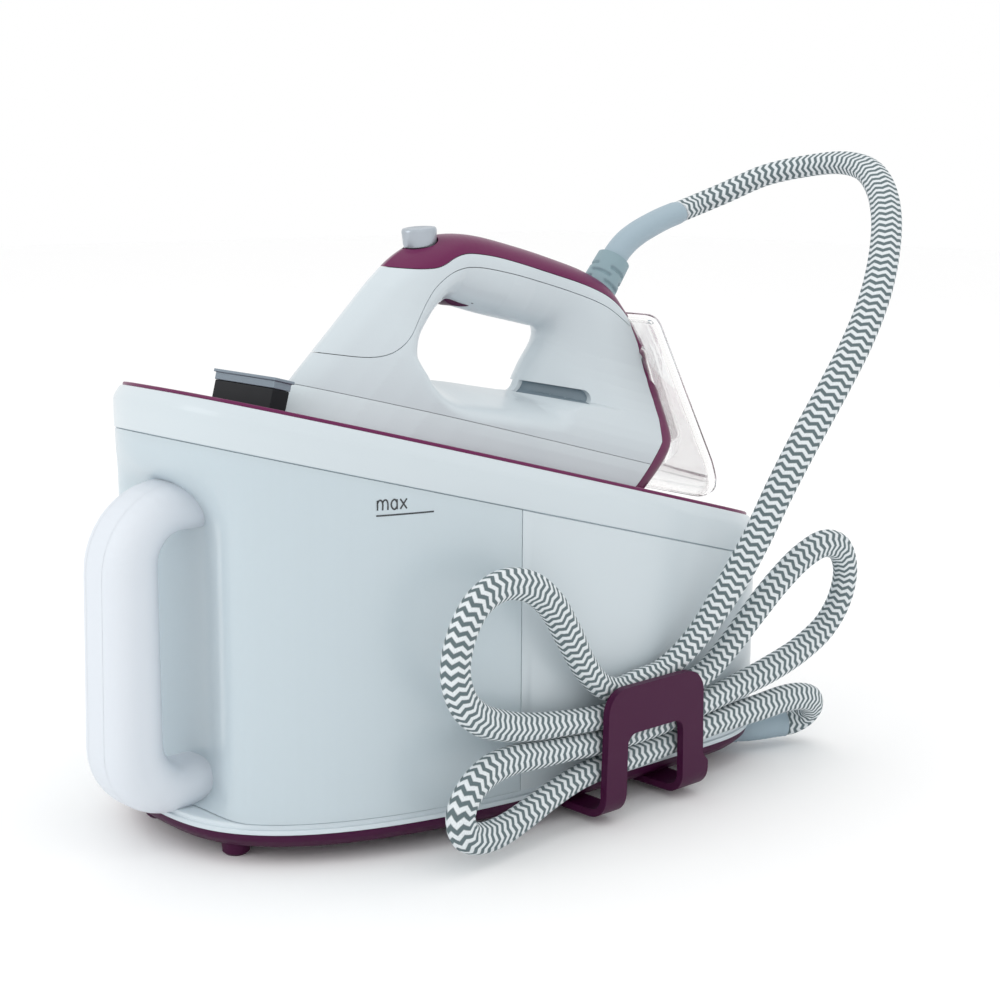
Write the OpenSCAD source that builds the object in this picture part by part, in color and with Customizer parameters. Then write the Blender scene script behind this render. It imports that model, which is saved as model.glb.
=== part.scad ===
// Steam generator iron: a pressure base with a slide-out water tank at the front,
// and a hand iron that rests on the sloping top and is fed through a steam hose.
// Millimetres. +Z is up, the front (tank handle) is -Y, and the hose clip is on the +X side.

/* [Base] */
// Half of the base's greatest width
base_half_w = 118; // [116:0.5:119]
// Y of the base's front, where the outline crosses the middle plane
base_front = -199; // [-202:0.5:-197]
// Y of the base's rear
base_rear = 178; // [176:0.5:180]
// Y where the base is widest
base_wide_y = 94; // [90:1:98]
// Height of the underside of the base plate
plate_z = 8; // [7:0.5:9]
// Height of the top of the floor that carries the tank
floor_z = 22; // [21:0.5:24]
// Slope of the top, as a fall per millimetre towards the rear
top_slope = 0.271; // [0.26:0.005:0.28]
// Height of the tray's rim above the middle of the outline
rim_z = 184.2; // [180:0.5:188]
// Height of the collar, square to the top
collar_h = 22.5; // [20:0.5:24]
// Wall of the housings
wall = 3; // [2:0.25:3.5]

/* [Tank] */
// Y of the joint between the tank and the rear housing
tank_back = -47; // [-49:0.5:-45]
// Wall of the water tank
tank_wall = 2.5; // [2:0.25:3]
// Clearance round the tank
tank_gap = 0.4; // [0.3:0.1:0.6]
// Radius of the finger scoop behind the handle
scoop_r = 62; // [60:1:64]
// Y of the scoop's axis
scoop_y = -235; // [-236:0.5:-234]

/* [Iron] */
// Half of the sole's greatest width
sole_half_w = 57; // [55:0.5:58]
// Length of the pointed front part of the sole
sole_nose = 174; // [172:0.5:176]
// Thickness of the soleplate
sole_t = 4; // [3:0.5:4]
// Wall of the iron's shells
iron_wall = 3; // [2.5:0.25:3]

/* [Steam hose] */
// Outer diameter of the braided hose
hose_d = 13; // [12:0.1:13.2]
// Sides of the plain hose tubes
hose_sides = 10; // [8:1:12]

/* [Hidden] */
$fn = 48;
tilt = atan(top_slope);
// the origin lies under the middle of the whole object, clip and handle included
middle_x = 11;
middle_y = -24;
front_power = 2 / 2.69;
rear_power = 2 / 2.89;
tray_floor = -10;
pad_h = 2;
sole_bottom = tray_floor + pad_h + 0.1;
sole_top = sole_bottom + sole_t;
clip_x = 136;
strand_x = 126.8;
strand_z = [71.5, 57.5, 43.6, 30];
foot_places = [[-36, -176], [36, -176], [-70, 132], [70, 132]];
screw_places = [[-60, -120], [60, -120], [-80, 88], [80, 88], [0, 160], [0, -150]];
boiler_y = 66;
boiler_z = 72;
boiler_r = 40;
valve_z = 36;
flap_y = -96;
button_places = [[-46, -166], [46, -166]];
button_r = 8;

// ---- places and shared outlines -------------------------------------------------

// from the frame centred on the base's outline to the part's own frame
module placed() translate([-middle_x, -middle_y, 0]) children();

// a frame lying in the rim's plane: +Y runs down the slope to the rear, +Z is square to it
module on_top() placed() translate([0, 0, rim_z]) rotate([-tilt, 0, 0]) children();

// one quarter of the base's outline, from the middle plane round to the widest point
function quarter(half_w, reach, power, steps) =
    [for (i = [0:steps]) let (t = 90 * i / steps)
        [half_w * pow(sin(t), power), reach * pow(cos(t), power)]];

// the base's outline, moved inwards by d
function outline(d = 0) = let (
    front = quarter(base_half_w - d, base_front + d - base_wide_y, front_power, 16),
    rear = quarter(base_half_w - d, base_rear - d - base_wide_y, rear_power, 14),
    near = concat([for (p = front) [p[0], p[1] + base_wide_y]],
        [for (i = [13:-1:0]) [rear[i][0], rear[i][1] + base_wide_y]]),
    n = len(near))
    concat(near, [for (i = [n - 2:-1:1]) [-near[i][0], near[i][1]]]);

module slab(d, z0, z1) translate([0, 0, z0]) linear_extrude(z1 - z0) polygon(outline(d));

// the space between two heights over the rim's plane
module band(h0, h1) translate([0, 0, rim_z]) rotate([-tilt, 0, 0])
    translate([-200, -320, h0]) cube([400, 640, h1 - h0]);

// the base's outline moved in by d, between two heights over the rim's plane
module top_slab(d, h0, h1) intersection() {
    slab(d, 60, 280);
    band(h0, h1);
}

// a tube from a to b along +X, +Y or +Z
module rod_x(r, x0, x1) translate([x0, 0, 0]) rotate([0, 90, 0]) cylinder(r = r, h = x1 - x0);
module rod_y(r, y0, y1) translate([0, y1, 0]) rotate([90, 0, 0]) cylinder(r = r, h = y1 - y0);

// a flat outline in Y and Z given thickness along X
module side_plate(points, half_w) rotate([90, 0, 90])
    linear_extrude(2 * half_w, center = true) polygon(points);

// a flat outline in X and Z given thickness along Y
module front_plate(points, y0, y1) translate([0, y1, 0]) rotate([90, 0, 0])
    linear_extrude(y1 - y0) polygon(points);

function mirrored(half) = concat(half,
    [for (i = [len(half) - 1:-1:0]) if (half[i][0] != 0) [-half[i][0], half[i][1]]]);

// ---- base ------------------------------------------------------------------------

module base_plate() color([0.26, 0.08, 0.2]) placed() difference() {
    union() {
        slab(6, plate_z, plate_z + 3);
        slab(1.5, plate_z + 3, 16.4);
    }
    slab(5, plate_z + 5, 17);
    for (p = screw_places) translate([p[0], p[1], 0]) cylinder(r = 2.2, h = 30);
    outlet_frame() translate([0, 0, -18]) cylinder(r = 8.9, h = 40);
}

module feet() color([0.24, 0.07, 0.18]) placed() for (p = foot_places)
    translate([p[0], p[1], 0]) rotate_extrude()
        polygon([[0, 0], [5.5, 0], [7, 1.5], [7.5, plate_z], [0, plate_z]]);

module base_floor() color([0.92, 0.93, 0.95]) placed() difference() {
    union() {
        slab(0.6, 16.4, 19);
        slab(1.8, 19, floor_z);
    }
    for (p = screw_places) translate([p[0], p[1], 10]) cylinder(r = 1.7, h = 9.5);
    outlet_frame() translate([0, 0, -18]) cylinder(r = 8.9, h = 40);
}

module rear_housing() color([0.93, 0.94, 0.96]) placed() difference() {
    intersection() {
        slab(0.3, floor_z, 280);
        band(-300, -collar_h);
        translate([-200, tank_back + 0.3, 0]) cube([400, 400, 300]);
    }
    intersection() {
        slab(0.3 + wall, floor_z - 1, 280);
        translate([-200, tank_back + 0.3 + wall, 0]) cube([400, 400, 300]);
    }
    translate([0, 0, valve_z]) rod_y(9, tank_back - 1, tank_back + wall + 2);
    translate([-45, 0, 42]) rod_y(7, base_rear - 20, base_rear + 1);
    translate([0, 0, 44]) rod_y(12, base_rear - 20, base_rear + 1);
    for (i = [-3:3]) translate([40 + i * 7, base_rear - 20, 60]) cube([3, 30, 22]);
}

module collar() color([0.94, 0.95, 0.97]) placed() difference() {
    union() {
        top_slab(0, -collar_h, -6);
        top_slab(1.6, -6.1, -3);
        top_slab(3.2, -3.1, -0.6);
    }
    top_slab(4.6, -collar_h - 1, 1);
}

module tray() color([0.36, 0.11, 0.28]) placed() difference() {
    top_slab(4.8, -14, 1.2);
    top_slab(8.5, tray_floor, 2);
}

module rest_pads() color([0.2, 0.2, 0.22]) on_top() {
    translate([-16, -104, tray_floor]) cube([32, 14, pad_h]);
    for (s = [-1, 1]) translate([s * 30 - 9, 20, tray_floor]) cube([18, 90, pad_h]);
}

module control_panel() color([0.34, 0.1, 0.26]) on_top() difference() {
    intersection() {
        translate([0, 0, tray_floor]) linear_extrude(6.5) polygon(panel_outline());
        translate([-100, -250, tray_floor]) cube([200, 98, 6.5]);
    }
    for (p = button_places) translate([p[0], p[1], tray_floor - 1])
        cylinder(r = button_r + 0.4, h = 20);
    for (i = [-1:1]) translate([i * 9, -176, -4.4]) cylinder(r = 2, h = 20);
}

// the outline of the tray's pocket, seen square to the rim's plane
function panel_outline() = [for (p = outline(9.2))
    [p[0], (p[1] - tray_floor * sin(tilt)) / cos(tilt)]];

module push_button(place) on_top() translate([place[0], place[1], tray_floor + 2.2])
    rotate_extrude() polygon([[0, 0], [button_r, 0], [button_r, 5], [button_r - 1, 6], [0, 5.4]]);

module power_button() color([0.8, 0.82, 0.85]) push_button(button_places[0]);
module mode_button() color([0.8, 0.82, 0.85]) push_button(button_places[1]);

module indicator_lenses() color([0.85, 0.9, 0.95]) on_top() for (i = [-1:1])
    translate([i * 9, -176, -4.4]) cylinder(r = 2, h = 1.2);

module boiler() color([0.7, 0.7, 0.72]) placed() translate([0, boiler_y, boiler_z]) difference() {
    union() {
        rod_x(boiler_r, -62, 62);
        for (s = [-1, 1]) rod_x(boiler_r + 3, s * 58 - 1.5, s * 58 + 1.5);
        for (s = [-1, 1]) translate([s * 45 - 4, -12, -boiler_z + floor_z])
            cube([8, 24, boiler_z - floor_z - 30]);
    }
    rod_x(boiler_r - 2.5, -59, 59);
    translate([30, 0, 0]) cylinder(r = 3, h = 60);
    translate([-30, 0, 0]) cylinder(r = 3, h = 60);
}

module boiler_heater() color([0.55, 0.56, 0.58]) placed()
    translate([0, boiler_y, boiler_z - 18]) {
        for (s = [-1, 1]) translate([0, s * 14, 0]) rod_x(3.5, -59, 40);
        translate([40, 0, 0]) rotate_extrude(angle = 180, start = -90)
            translate([14, 0]) circle(r = 3.5);
    }

module boiler_thermostat() color([0.25, 0.25, 0.27]) placed()
    translate([0, boiler_y, boiler_z]) rod_x(11, 62, 70);

module pump() color([0.2, 0.2, 0.22]) placed() translate([-84, 0, 0]) {
    translate([-14, -14, floor_z]) cube([28, 52, 34]);
    translate([0, 0, floor_z + 17]) rod_y(9, -26, -14);
    translate([0, 0, floor_z + 17]) rod_y(5, 38, 46);
}

module steam_valve() color([0.75, 0.62, 0.35]) placed() translate([84, 60, floor_z]) {
    translate([-12, -12, 0]) cube([24, 30, 22]);
    translate([0, 4, 22]) cylinder(r = 9, h = 26);
}

module steam_pipe() color([0.8, 0.8, 0.82]) placed() {
    translate([30, boiler_y, 108]) cylinder(r = 2.9, h = 14);
    translate([0, boiler_y, 122]) rod_x(3, 28, 87);
    translate([84, boiler_y, 71]) cylinder(r = 3, h = 51);
}

module water_pipe() color([0.9, 0.9, 0.9]) placed() {
    translate([-84, 0, 39]) rod_y(4, 46, 92);
    translate([-84, 88, 39]) cylinder(r = 4, h = 83);
    translate([0, 88, 122]) rod_x(4, -88, -26);
    translate([-30, 0, 122]) rod_y(4, 64, 88);
    translate([-30, boiler_y, 108]) cylinder(r = 2.9, h = 14);
}

module control_board() color([0.1, 0.35, 0.2]) placed() translate([-50, -36, 60]) {
    cube([100, 1.6, 60]);
    translate([10, 1.6, 8]) cube([16, 14, 20]);
    translate([40, 1.6, 30]) cube([24, 9, 18]);
    translate([80, 9.6, 20]) rotate([90, 0, 0]) cylinder(r = 7, h = 8);
}

module water_socket() color([0.75, 0.77, 0.8]) placed() translate([0, 0, valve_z]) difference() {
    union() {
        rod_y(8.9, tank_back + 0.4, tank_back + 24);
        rod_y(12, tank_back + 0.3 + wall, tank_back + 8);
        translate([-5, tank_back + 10, -valve_z + floor_z]) cube([10, 8, valve_z - floor_z - 6]);
    }
    rod_y(6.8, tank_back - 1, tank_back + 20);
}

module mains_gland() color([0.2, 0.2, 0.22]) placed() translate([-45, 0, 42]) difference() {
    union() {
        rod_y(6.9, base_rear - 10, base_rear + 1);
        rod_y(9.5, base_rear - 0.6, base_rear + 2.6);
        rod_y(6, base_rear + 2.6, base_rear + 8);
    }
    rod_y(3.6, base_rear - 11, base_rear + 9);
}

// the hose leaves the base at its rear corner, low down
module outlet_frame() translate([96.5, 146.5, 12]) rotate([0, 90, 53.13]) children();

module hose_outlet() color([0.6, 0.66, 0.69]) placed() outlet_frame() difference() {
    translate([0, 0, -16]) cylinder(r = 8.6, h = 16);
    translate([0, 0, -17]) cylinder(r = 4.5, h = 13);
}

module descale_cap() color([0.85, 0.87, 0.9]) placed() translate([0, 0, 44]) {
    rod_y(11.6, base_rear - 3.5, base_rear + 2);
    rod_y(6, base_rear - 12, base_rear - 3.5);
    translate([-9, base_rear + 2, -1.5]) cube([18, 4, 3]);
}

module base_screws() color([0.6, 0.6, 0.62]) placed() for (p = screw_places)
    translate([p[0], p[1], 0]) {
        translate([0, 0, plate_z - 2]) cylinder(r = 3.6, h = 2);
        translate([0, 0, plate_z]) cylinder(r = 1.7, h = 11);
    }

// side of the clip: a plate that stands off the wall and reaches in under the base
clip_side = [[80, 4], [128, 4], [134, 6.5], [140, 12.5], [140, 76], [135.6, 76], [135.6, 14.4],
    [131.6, 9.9], [127, 7.9], [80, 7.9]];
// front of the clip: two legs under a plate with rounded shoulders
clip_front = concat([[-12, 0], [-10.4, 55]],
    [for (a = [170:-20:90]) [3.4 + 13.8 * cos(a), 61 + 13.8 * sin(a)]],
    [for (a = [90:-20:10]) [51.4 + 13.8 * cos(a), 61 + 13.8 * sin(a)]],
    [[65.2, 55], [66, 25], [70.4, 20], [70.4, 0]]);
clip_window = concat([[4, -1], [4.8, 40]],
    [for (a = [180:-30:90]) [11 + 6.2 * cos(a), 42.4 + 6.2 * sin(a)]],
    [for (a = [90:-30:0]) [42.4 + 6.2 * cos(a), 42.4 + 6.2 * sin(a)]], [[48.8, 40], [49.6, -1]]);

module hose_clip() color([0.3, 0.13, 0.26]) placed() intersection() {
    front_plate(clip_side, -30, 90);
    difference() {
        side_plate(clip_front, 200);
        side_plate(clip_window, 201);
    }
}

module lock_slider() color([0.06, 0.06, 0.07]) on_top() {
    translate([-26, -149, tray_floor + 0.3]) cube([52, 7, 22]);
    translate([-26, -142.1, sole_top + 0.6]) cube([52, 3.6, 12.3 - sole_top - 0.6]);
}

module lock_cap() color([0.75, 0.76, 0.78]) on_top() {
    translate([-26, -149, 12.3]) cube([52, 10.5, 4]);
    translate([-27.5, -150, 16.3]) cube([55, 12.5, 1.6]);
}

// ---- water tank ------------------------------------------------------------------

// the hollow behind the grip, for the fingers; d makes it larger
module scoop(d) translate([0, scoop_y, 0]) rotate_extrude($fn = 96)
    polygon([[0, 14 - d], [scoop_r - 10 + d, 14 - d], [scoop_r + d, 34], [scoop_r + d, 172],
        [scoop_r - 6 + d, 186 + d * 0.5], [scoop_r - 22, 196 + d], [0, 196 + d]]);

module tank_walls() placed() difference() {
    intersection() {
        slab(tank_gap, floor_z + 0.5, 280);
        band(-300, -collar_h - 0.6);
        translate([-200, -300, 0]) cube([400, 300 + tank_back - 0.3, 300]);
    }
    scoop(0);
    difference() {
        intersection() {
            slab(tank_gap + tank_wall, floor_z + 0.5 + tank_wall, 280);
            band(-300, -collar_h - 0.6 - tank_wall);
            translate([-200, -300, 0]) cube([400, 300 + tank_back - 0.3 - tank_wall, 300]);
        }
        scoop(tank_wall);
    }
    translate([0, 0, valve_z]) rod_y(6.6, tank_back - 6, tank_back + 1);
}
module tank_shell() color([0.75, 0.82, 0.86, 0.6]) difference() {
    tank_walls();
    flap_frame() translate([-24, -29.6, -8]) cube([48, 30, 16]);
}

module tank_valve() color([0.85, 0.87, 0.9]) placed() translate([0, 0, valve_z]) difference() {
    union() {
        rod_y(6.5, tank_back - 12, tank_back + 1);
        rod_y(6, tank_back + 1, tank_back + 8);
        rod_y(9, tank_back - 6.5, tank_back - 2.9);
    }
    rod_y(3.5, tank_back - 13, tank_back + 9);
}

module tank_valve_seal() color([0.1, 0.1, 0.1]) placed() translate([0, tank_back + 4, valve_z])
    rotate([90, 0, 0]) rotate_extrude() translate([6.2, 0]) square([0.4, 1.6], center = true);

module filler_flap() color([0.8, 0.84, 0.88]) flap_frame() {
    translate([-23.4, -29, 1.9]) cube([46.8, 28.4, 2.2]);
    rod_x(1.5, -23, 23);
    translate([-23, -4, -1]) cube([46, 3.4, 3.4]);
}

// the hinge lies just under the rear edge of the filling hole
module flap_frame() on_top() translate([0, flap_y, -collar_h - 4.9]) children();

// the handle's loop, seen from the side: outer and inner contours
grip_outer = concat([[-176, 187]],
    [for (a = [90:15:180]) [-190 + 42 * cos(a), 145 + 42 * sin(a)]],
    [for (a = [180:15:270]) [-190 + 42 * cos(a), 64.6 + 42 * sin(a)]], [[-176, 22.6]]);
grip_inner = concat([[-160, 162]],
    [for (a = [90:15:180]) [-186 + 17 * cos(a), 145 + 17 * sin(a)]],
    [for (a = [180:15:270]) [-186 + 17 * cos(a), 61.6 + 17 * sin(a)]], [[-160, 44.6]]);
// where the front cover meets the grip
grip_split = concat([[-150, 200], [-188, 200]],
    [for (a = [100:10:180]) [-190 + 33 * cos(a), 145 + 36 * sin(a)]],
    [for (a = [180:10:260]) [-190 + 33 * cos(a), 60 + 36 * sin(a)]], [[-188, 0], [-150, 0]]);

module grip_loop() difference() {
    intersection() {
        side_plate(concat(grip_outer, [[-160, 22.6], [-160, 187]]), 17);
        translate([0, 0, -10]) linear_extrude(250)
            polygon([[-17, -150], [-17, -218], [-12, -229], [-5, -233], [5, -233], [12, -229],
                [17, -218], [17, -150]]);
    }
    side_plate(concat(grip_inner, [[-100, 44.6], [-100, 162]]), 30);
    tank_front();
}

// everything behind the tank's scooped front
module tank_front() difference() {
    translate([-200, -260, 0]) cube([400, 400, 300]);
    scoop(-0.1);
    translate([-200, -262, -1]) cube([400, 62 - 11, 302]);
}

module tank_grip() color([0.93, 0.94, 0.96]) placed() intersection() {
    grip_loop();
    side_plate(grip_split, 40);
}

module tank_grip_cover() color([0.9, 0.92, 0.94]) placed() difference() {
    grip_loop();
    side_plate(grip_split, 40);
}

// ---- iron, drawn in the rim's plane ------------------------------------------------

// the sole's outline: two arcs that meet at the tip, a straight middle and a round heel
function nose_x(y, w) = let (r = (sole_nose * sole_nose + w * w) / (2 * w))
    sqrt(r * r - (y - 40) * (y - 40)) - (r - w);
function sole_half(d) = let (w = sole_half_w - d) concat(
    [for (i = [0:14]) let (y = 40 - (sole_nose - d) * (1 - i / 14))
        [max(0, nose_x(y, w) - (i == 0 ? 0 : 0)), y]],
    [[w, 84], [w - 2, 104]],
    [for (a = [0:15:90]) [w - 24 + 20 * cos(a), 112 - d + 20 * sin(a)]], [[0, 133 - d]]);
module sole_plan(d, z0, z1) translate([0, 0, z0]) linear_extrude(z1 - z0)
    polygon(mirrored(sole_half(d)));

// the iron's side outline, and the hole for the hand
iron_side = [[-136, sole_top], [-131, 0], [-74, 93], [-69, 99], [-62, 105.5], [-51, 112.5],
    [-38, 118.5], [-20, 123], [11, 124.2], [42, 124.6], [74, 123], [92, 117], [104, 105],
    [120, 89], [141, 55], [150, 42], [152.5, 34], [151, 26], [144, 16], [134, sole_top]];
hand_hole = [[-40, 80], [-46, 75], [-50, 64], [-52, 54], [-50, 46], [-45, 40.5], [-38, 37.5],
    [28, 42.5], [33, 44], [36, 48], [42, 76], [40, 81.5]];
// half of the iron's section across the handle
iron_half = [[sole_half_w + 0.5, sole_top], [sole_half_w, 4], [54.5, 12], [50, 22], [43, 34],
    [35, 44], [29, 54], [25.5, 64], [23, 76], [21, 92], [19, 104], [16, 113], [11, 120],
    [5, 123.8], [0, 124.6]];
core_side = [[-124, sole_top], [-120, 8], [-70, 90], [-58, 101], [-44, 109], [-18, 116], [10, 119],
    [72, 118], [88, 112], [100, 100], [116, 84], [136, 53], [146, 36], [139, 16], [130, sole_top]];
core_hole = [[-40, 84], [-49, 78], [-54, 64], [-56, 54], [-54, 44], [-48, 36.5], [-38, 33.5],
    [29, 38.5], [36.5, 41], [40, 46], [46.2, 76], [44, 85]];
core_half = [[54, sole_top], [53.5, 4], [51, 11], [46.5, 21], [39, 33], [31, 43], [25.5, 53],
    [22, 63], [19.8, 76], [18, 92], [16, 103], [13, 110], [8, 117], [0, 119]];

// the body leans back: its plan moves to the rear as it rises, like the nose
module leaning_plan(d) hull() {
    sole_plan(d, sole_top - 2, sole_top - 1);
    translate([0, 82, 0]) sole_plan(d, 129, 130);
}

module iron_outer() difference() {
    intersection() {
        side_plate(iron_side, 70);
        front_plate(mirrored(iron_half), -140, 160);
        leaning_plan(0);
    }
    side_plate(hand_hole, 80);
}

module iron_core() difference() {
    intersection() {
        side_plate(core_side, 70);
        front_plate(mirrored(core_half), -136, 156);
        leaning_plan(iron_wall);
    }
    side_plate(core_hole, 80);
}

// lines that part the shells, seen from the side
cap_line = [[-90, 91], [-65, 93], [-51, 97], [-42, 104], [-30, 110], [0, 113], [64, 113],
    [84, 111], [108, 101.2]];
cap_region = concat(cap_line, [[112, 140], [-90, 140]]);
nose_region = concat([[-140, 35], [-88, 39.5], [-76, 46], [-67, 57.5], [-54, 83], [-40, 98],
    [-24, 103], [-10, 104.5], [-10, 112]], [for (i = [4:-1:0]) cap_line[i]], [[-140, 100]]);
rear_region = [[108, 101.2], [109, 95.6], [135, 60], [143, 45], [145.5, 38], [145, 29], [137, 16],
    [126, sole_top - 2], [170, sole_top - 2], [170, 125], [110.45, 125]];

module soleplate() color([0.55, 0.57, 0.6]) on_top() difference() {
    sole_plan(-1.5, sole_bottom, sole_top);
    for (i = [0:5]) for (s = [-1, 1]) translate([s * (14 + i * 4.5), -96 + i * 22, 0])
        cylinder(r = 1.6, h = 40, center = true);
    for (i = [0:3]) translate([0, -108 + i * 12, 0]) cylinder(r = 1.6, h = 40, center = true);
}

module steam_chamber() color([0.7, 0.71, 0.72]) on_top() {
    sole_plan(18.5, sole_top, sole_top + 12);
    translate([0, 20, sole_top + 12]) cylinder(r = 14, h = 8);
}

module iron_skirt() color([0.9, 0.92, 0.94]) on_top() difference() {
    intersection() {
        iron_outer();
        translate([-100, -160, sole_top]) cube([200, 320, 18 - sole_top]);
    }
    iron_core();
    side_plate(rear_region, 80);
}

module flanks() difference() {
    iron_outer();
    iron_core();
    translate([-100, -160, -20]) cube([200, 320, 38]);
    side_plate(cap_region, 80);
    side_plate(nose_region, 80);
    side_plate(rear_region, 80);
    trigger_room();
    for (s = [-1, 1]) translate([s * 34, 0, 0]) slot_form(0.1);
}

// cheeks inside the grip that hold the trigger's pin
module pin_cheeks() difference() {
    for (s = [-1, 1]) translate([s * 9.9 - 2.2, trigger_pin[0] - 4, 83.6]) cube([4.4, 8, 6]);
    translate([0, trigger_pin[0], trigger_pin[1]]) rod_x(1.4, -20, 20);
}
module iron_shell() color([0.92, 0.94, 0.96]) on_top() {
    flanks();
    pin_cheeks();
}

module nose_panel() color([0.93, 0.95, 0.97]) on_top() difference() {
    intersection() {
        iron_outer();
        side_plate(nose_region, 80);
    }
    iron_core();
    side_plate(cap_region, 80);
}

module handle_cap() color([0.42, 0.12, 0.33]) on_top() difference() {
    intersection() {
        iron_outer();
        side_plate(cap_region, 80);
    }
    iron_core();
    button_frame() translate([-10.2, -10.4, -6]) cube([20.4, 23.8, 12]);
    boot_frame() cylinder(r = 11.6, h = 60, center = true);
}

module rear_cover() color([0.36, 0.1, 0.28]) on_top() difference() {
    intersection() {
        iron_outer();
        side_plate(rear_region, 80);
    }
    iron_core();
    boot_frame() cylinder(r = 11.6, h = 60, center = true);
}

// the clear rest that the iron stands on when it is set up on its heel
heel_band = [[109.6, 106.5], [187, 9.7], [182.3, 6], [180.8, 7.8], [183.6, 10.1], [107.8, 105]];
heel_cheek = [[112.4, 101], [171.4, 27.2], [166, 20], [156, 17], [148.4, 19.2], [153, 26],
    [154.6, 34], [151.8, 44], [142.4, 58], [122.4, 88.2], [114, 98.5]];
module heel_plan() translate([0, 109.5, 103.6]) rotate([-51, 0, 0]) linear_extrude(200, center = true)
    polygon(mirrored(concat([[0, 122]],
        [for (a = [90:-15:0]) [33 + 17 * cos(a), 105 + 17 * sin(a)]],
        [[48.5, 84], [38, 0], [36, -4], [32, -5], [0, -5]])));
module heel_rest() color([0.9, 0.92, 0.93, 0.35]) on_top() {
    intersection() {
        side_plate(heel_band, 60);
        heel_plan();
    }
    for (s = [-1, 1]) translate([s * 23.3, 0, 0]) side_plate(heel_cheek, 1.2);
}

// a long recess on each flank, behind the hand hole, with a round rear end
module slot_form(d) translate([-9, 43, 47]) rotate([0, 90, 0]) linear_extrude(18) union() {
    translate([-6 - d, 5 - d]) square([12 + 2 * d, 20 + d]);
    translate([0, 25]) circle(r = 6 + d);
}

module slot_inserts() color([0.5, 0.56, 0.62]) on_top() for (s = [-1, 1]) intersection() {
    translate([s * 34, 0, 0]) slot_form(0);
    difference() {
        front_plate(mirrored([for (p = iron_half) [max(0, p[0] - 1.5), p[1]]]), -100, 120);
        front_plate(mirrored([for (p = core_half) [max(0, p[0] + 0.2), p[1]]]), -100, 120);
    }
}

// the steam trigger hangs from a pin under the front of the grip
trigger_pin = [-14, 86];
module trigger_room() translate([-8.4, -44, 70]) cube([16.8, 40, 25]);
module steam_trigger() color([0.36, 0.1, 0.28]) on_top() {
    difference() {
        translate([-7.2, 0, 0]) rotate([90, 0, 90]) linear_extrude(14.4)
            polygon([[-10, 84.4], [-8, 88], [-11, 91], [-17, 91], [-36, 90], [-40, 87],
                [-39.4, 83.5], [-36, 80.5], [-30, 79], [-22, 79.8], [-14, 82.4]]);
        translate([0, trigger_pin[0], trigger_pin[1]]) rod_x(1.6, -20, 20);
    }
}
module trigger_switch() color([0.15, 0.15, 0.16]) on_top() {
    translate([-5, -34, 96.5]) cube([10, 16, 8]);
    translate([0, trigger_pin[0], trigger_pin[1]]) rod_x(1.3, -10, 10);
}

module button_frame() translate([0, -54, 110]) rotate([20, 0, 0]) children();
module thumb_button() color([0.75, 0.77, 0.78]) on_top() button_frame() {
    translate([0, 0, 1]) linear_extrude(6.6) polygon([for (a = [0:12:348])
        [9.6 * cos(a), 1.5 + 11 * sin(a)]]);
    translate([-5, -4, -3]) cube([10, 10, 4.1]);
}

module handle_pipe() color([0.8, 0.8, 0.8]) on_top() {
    translate([0, 0, 108]) rod_y(3, -14, 84);
    translate([0, 92, 60]) cylinder(r = 3, h = 44);
    translate([0, 92, 8.4]) cylinder(r = 3, h = 52);
}

// ---- steam hose --------------------------------------------------------------------

// the boot stands on the rear of the handle
module boot_frame() translate([0, 91, 113]) rotate([-23, 0, 0]) children();
module hose_boot() color([0.6, 0.67, 0.71]) on_top() boot_frame() difference() {
    rotate_extrude() polygon([[0, 0], [11.5, 0], [11.5, 9], [10.5, 26], [0, 26]]);
    translate([0, 0, 20]) cylinder(r = hose_d / 2 + 0.05, h = 10);
}

// points of the hose's route, from the iron's boot to the base's outlet
sleeve_route = [[0, 131, 286.8], [0, 136.5, 293.8], [0, 144, 300], [0, 153, 305], [0, 165, 309.8],
    [0, 178.5, 314.3], [2, 190, 318]];
free_route = [[2, 190, 318], [4.1, 202.2, 321.9], [15, 217, 329.5], [33, 236, 341], [57, 248, 347],
    [83, 249, 349], [106, 242, 345], [124, 231, 335], [140, 216, 319], [152, 199, 299],
    [160, 181, 276], [163, 162, 251], [162, 143, 226], [158, 126, 200], [152, 111, 171],
    [146, 98, 142], [139, 84, 115], [131, 66, 88], [strand_x, 46, 74], [strand_x, 26, strand_z[0]]];
bundle_route = [[strand_x, 26, strand_z[0]], [strand_x, 10, 69.5], [127, -3, 74.5],
    [128, -17, 88], [129.5, -31, 108], [131.5, -46, 127], [134, -64, 139.5], [136, -84, 143.5],
    [137.5, -102, 137], [138, -113, 122], [137.5, -116, 105], [136, -110, 89.5], [133.5, -97, 77.5],
    [130.5, -78, 69], [128, -55, 63], [strand_x, -30, 59.5], [strand_x, 0, 57],
    [strand_x, 35, strand_z[1]], [strand_x, 62, 61], [127.5, 83, 67.5], [130, 99, 80],
    [133, 115.5, 96.5], [136, 133, 112.5], [138.5, 152, 125], [140, 169, 130], [140, 184, 125],
    [139, 192, 111], [137.5, 189.5, 93], [135, 179, 77.5], [132, 160, 66], [130, 136, 58.5],
    [128, 110, 53], [127, 85, 49], [strand_x, 62, 46], [strand_x, 35, strand_z[2]],
    [strand_x, 0, 43.4], [strand_x, -25, 44.8], [128, -50, 47], [130.5, -72, 49.5],
    [133.5, -92, 48], [136, -106, 41], [137, -112, 31], [136.5, -108.5, 21], [135, -97, 15.5],
    [132.5, -80, 14.5], [130, -60, 18], [128, -40, 23], [strand_x, -20, 27],
    [strand_x, 0, 29], [strand_x, 35, strand_z[3]], [strand_x, 62, 32], [127.5, 84, 34.5],
    [128, 107, 35.5], [129, 130, 36.5], [129, 152, 37], [128.5, 167, 35], [126, 180, 30],
    [121, 188, 22], [115.5, 187.5, 15], [111.5, 182, 12], [109.3, 176.5, 12]];
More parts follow.
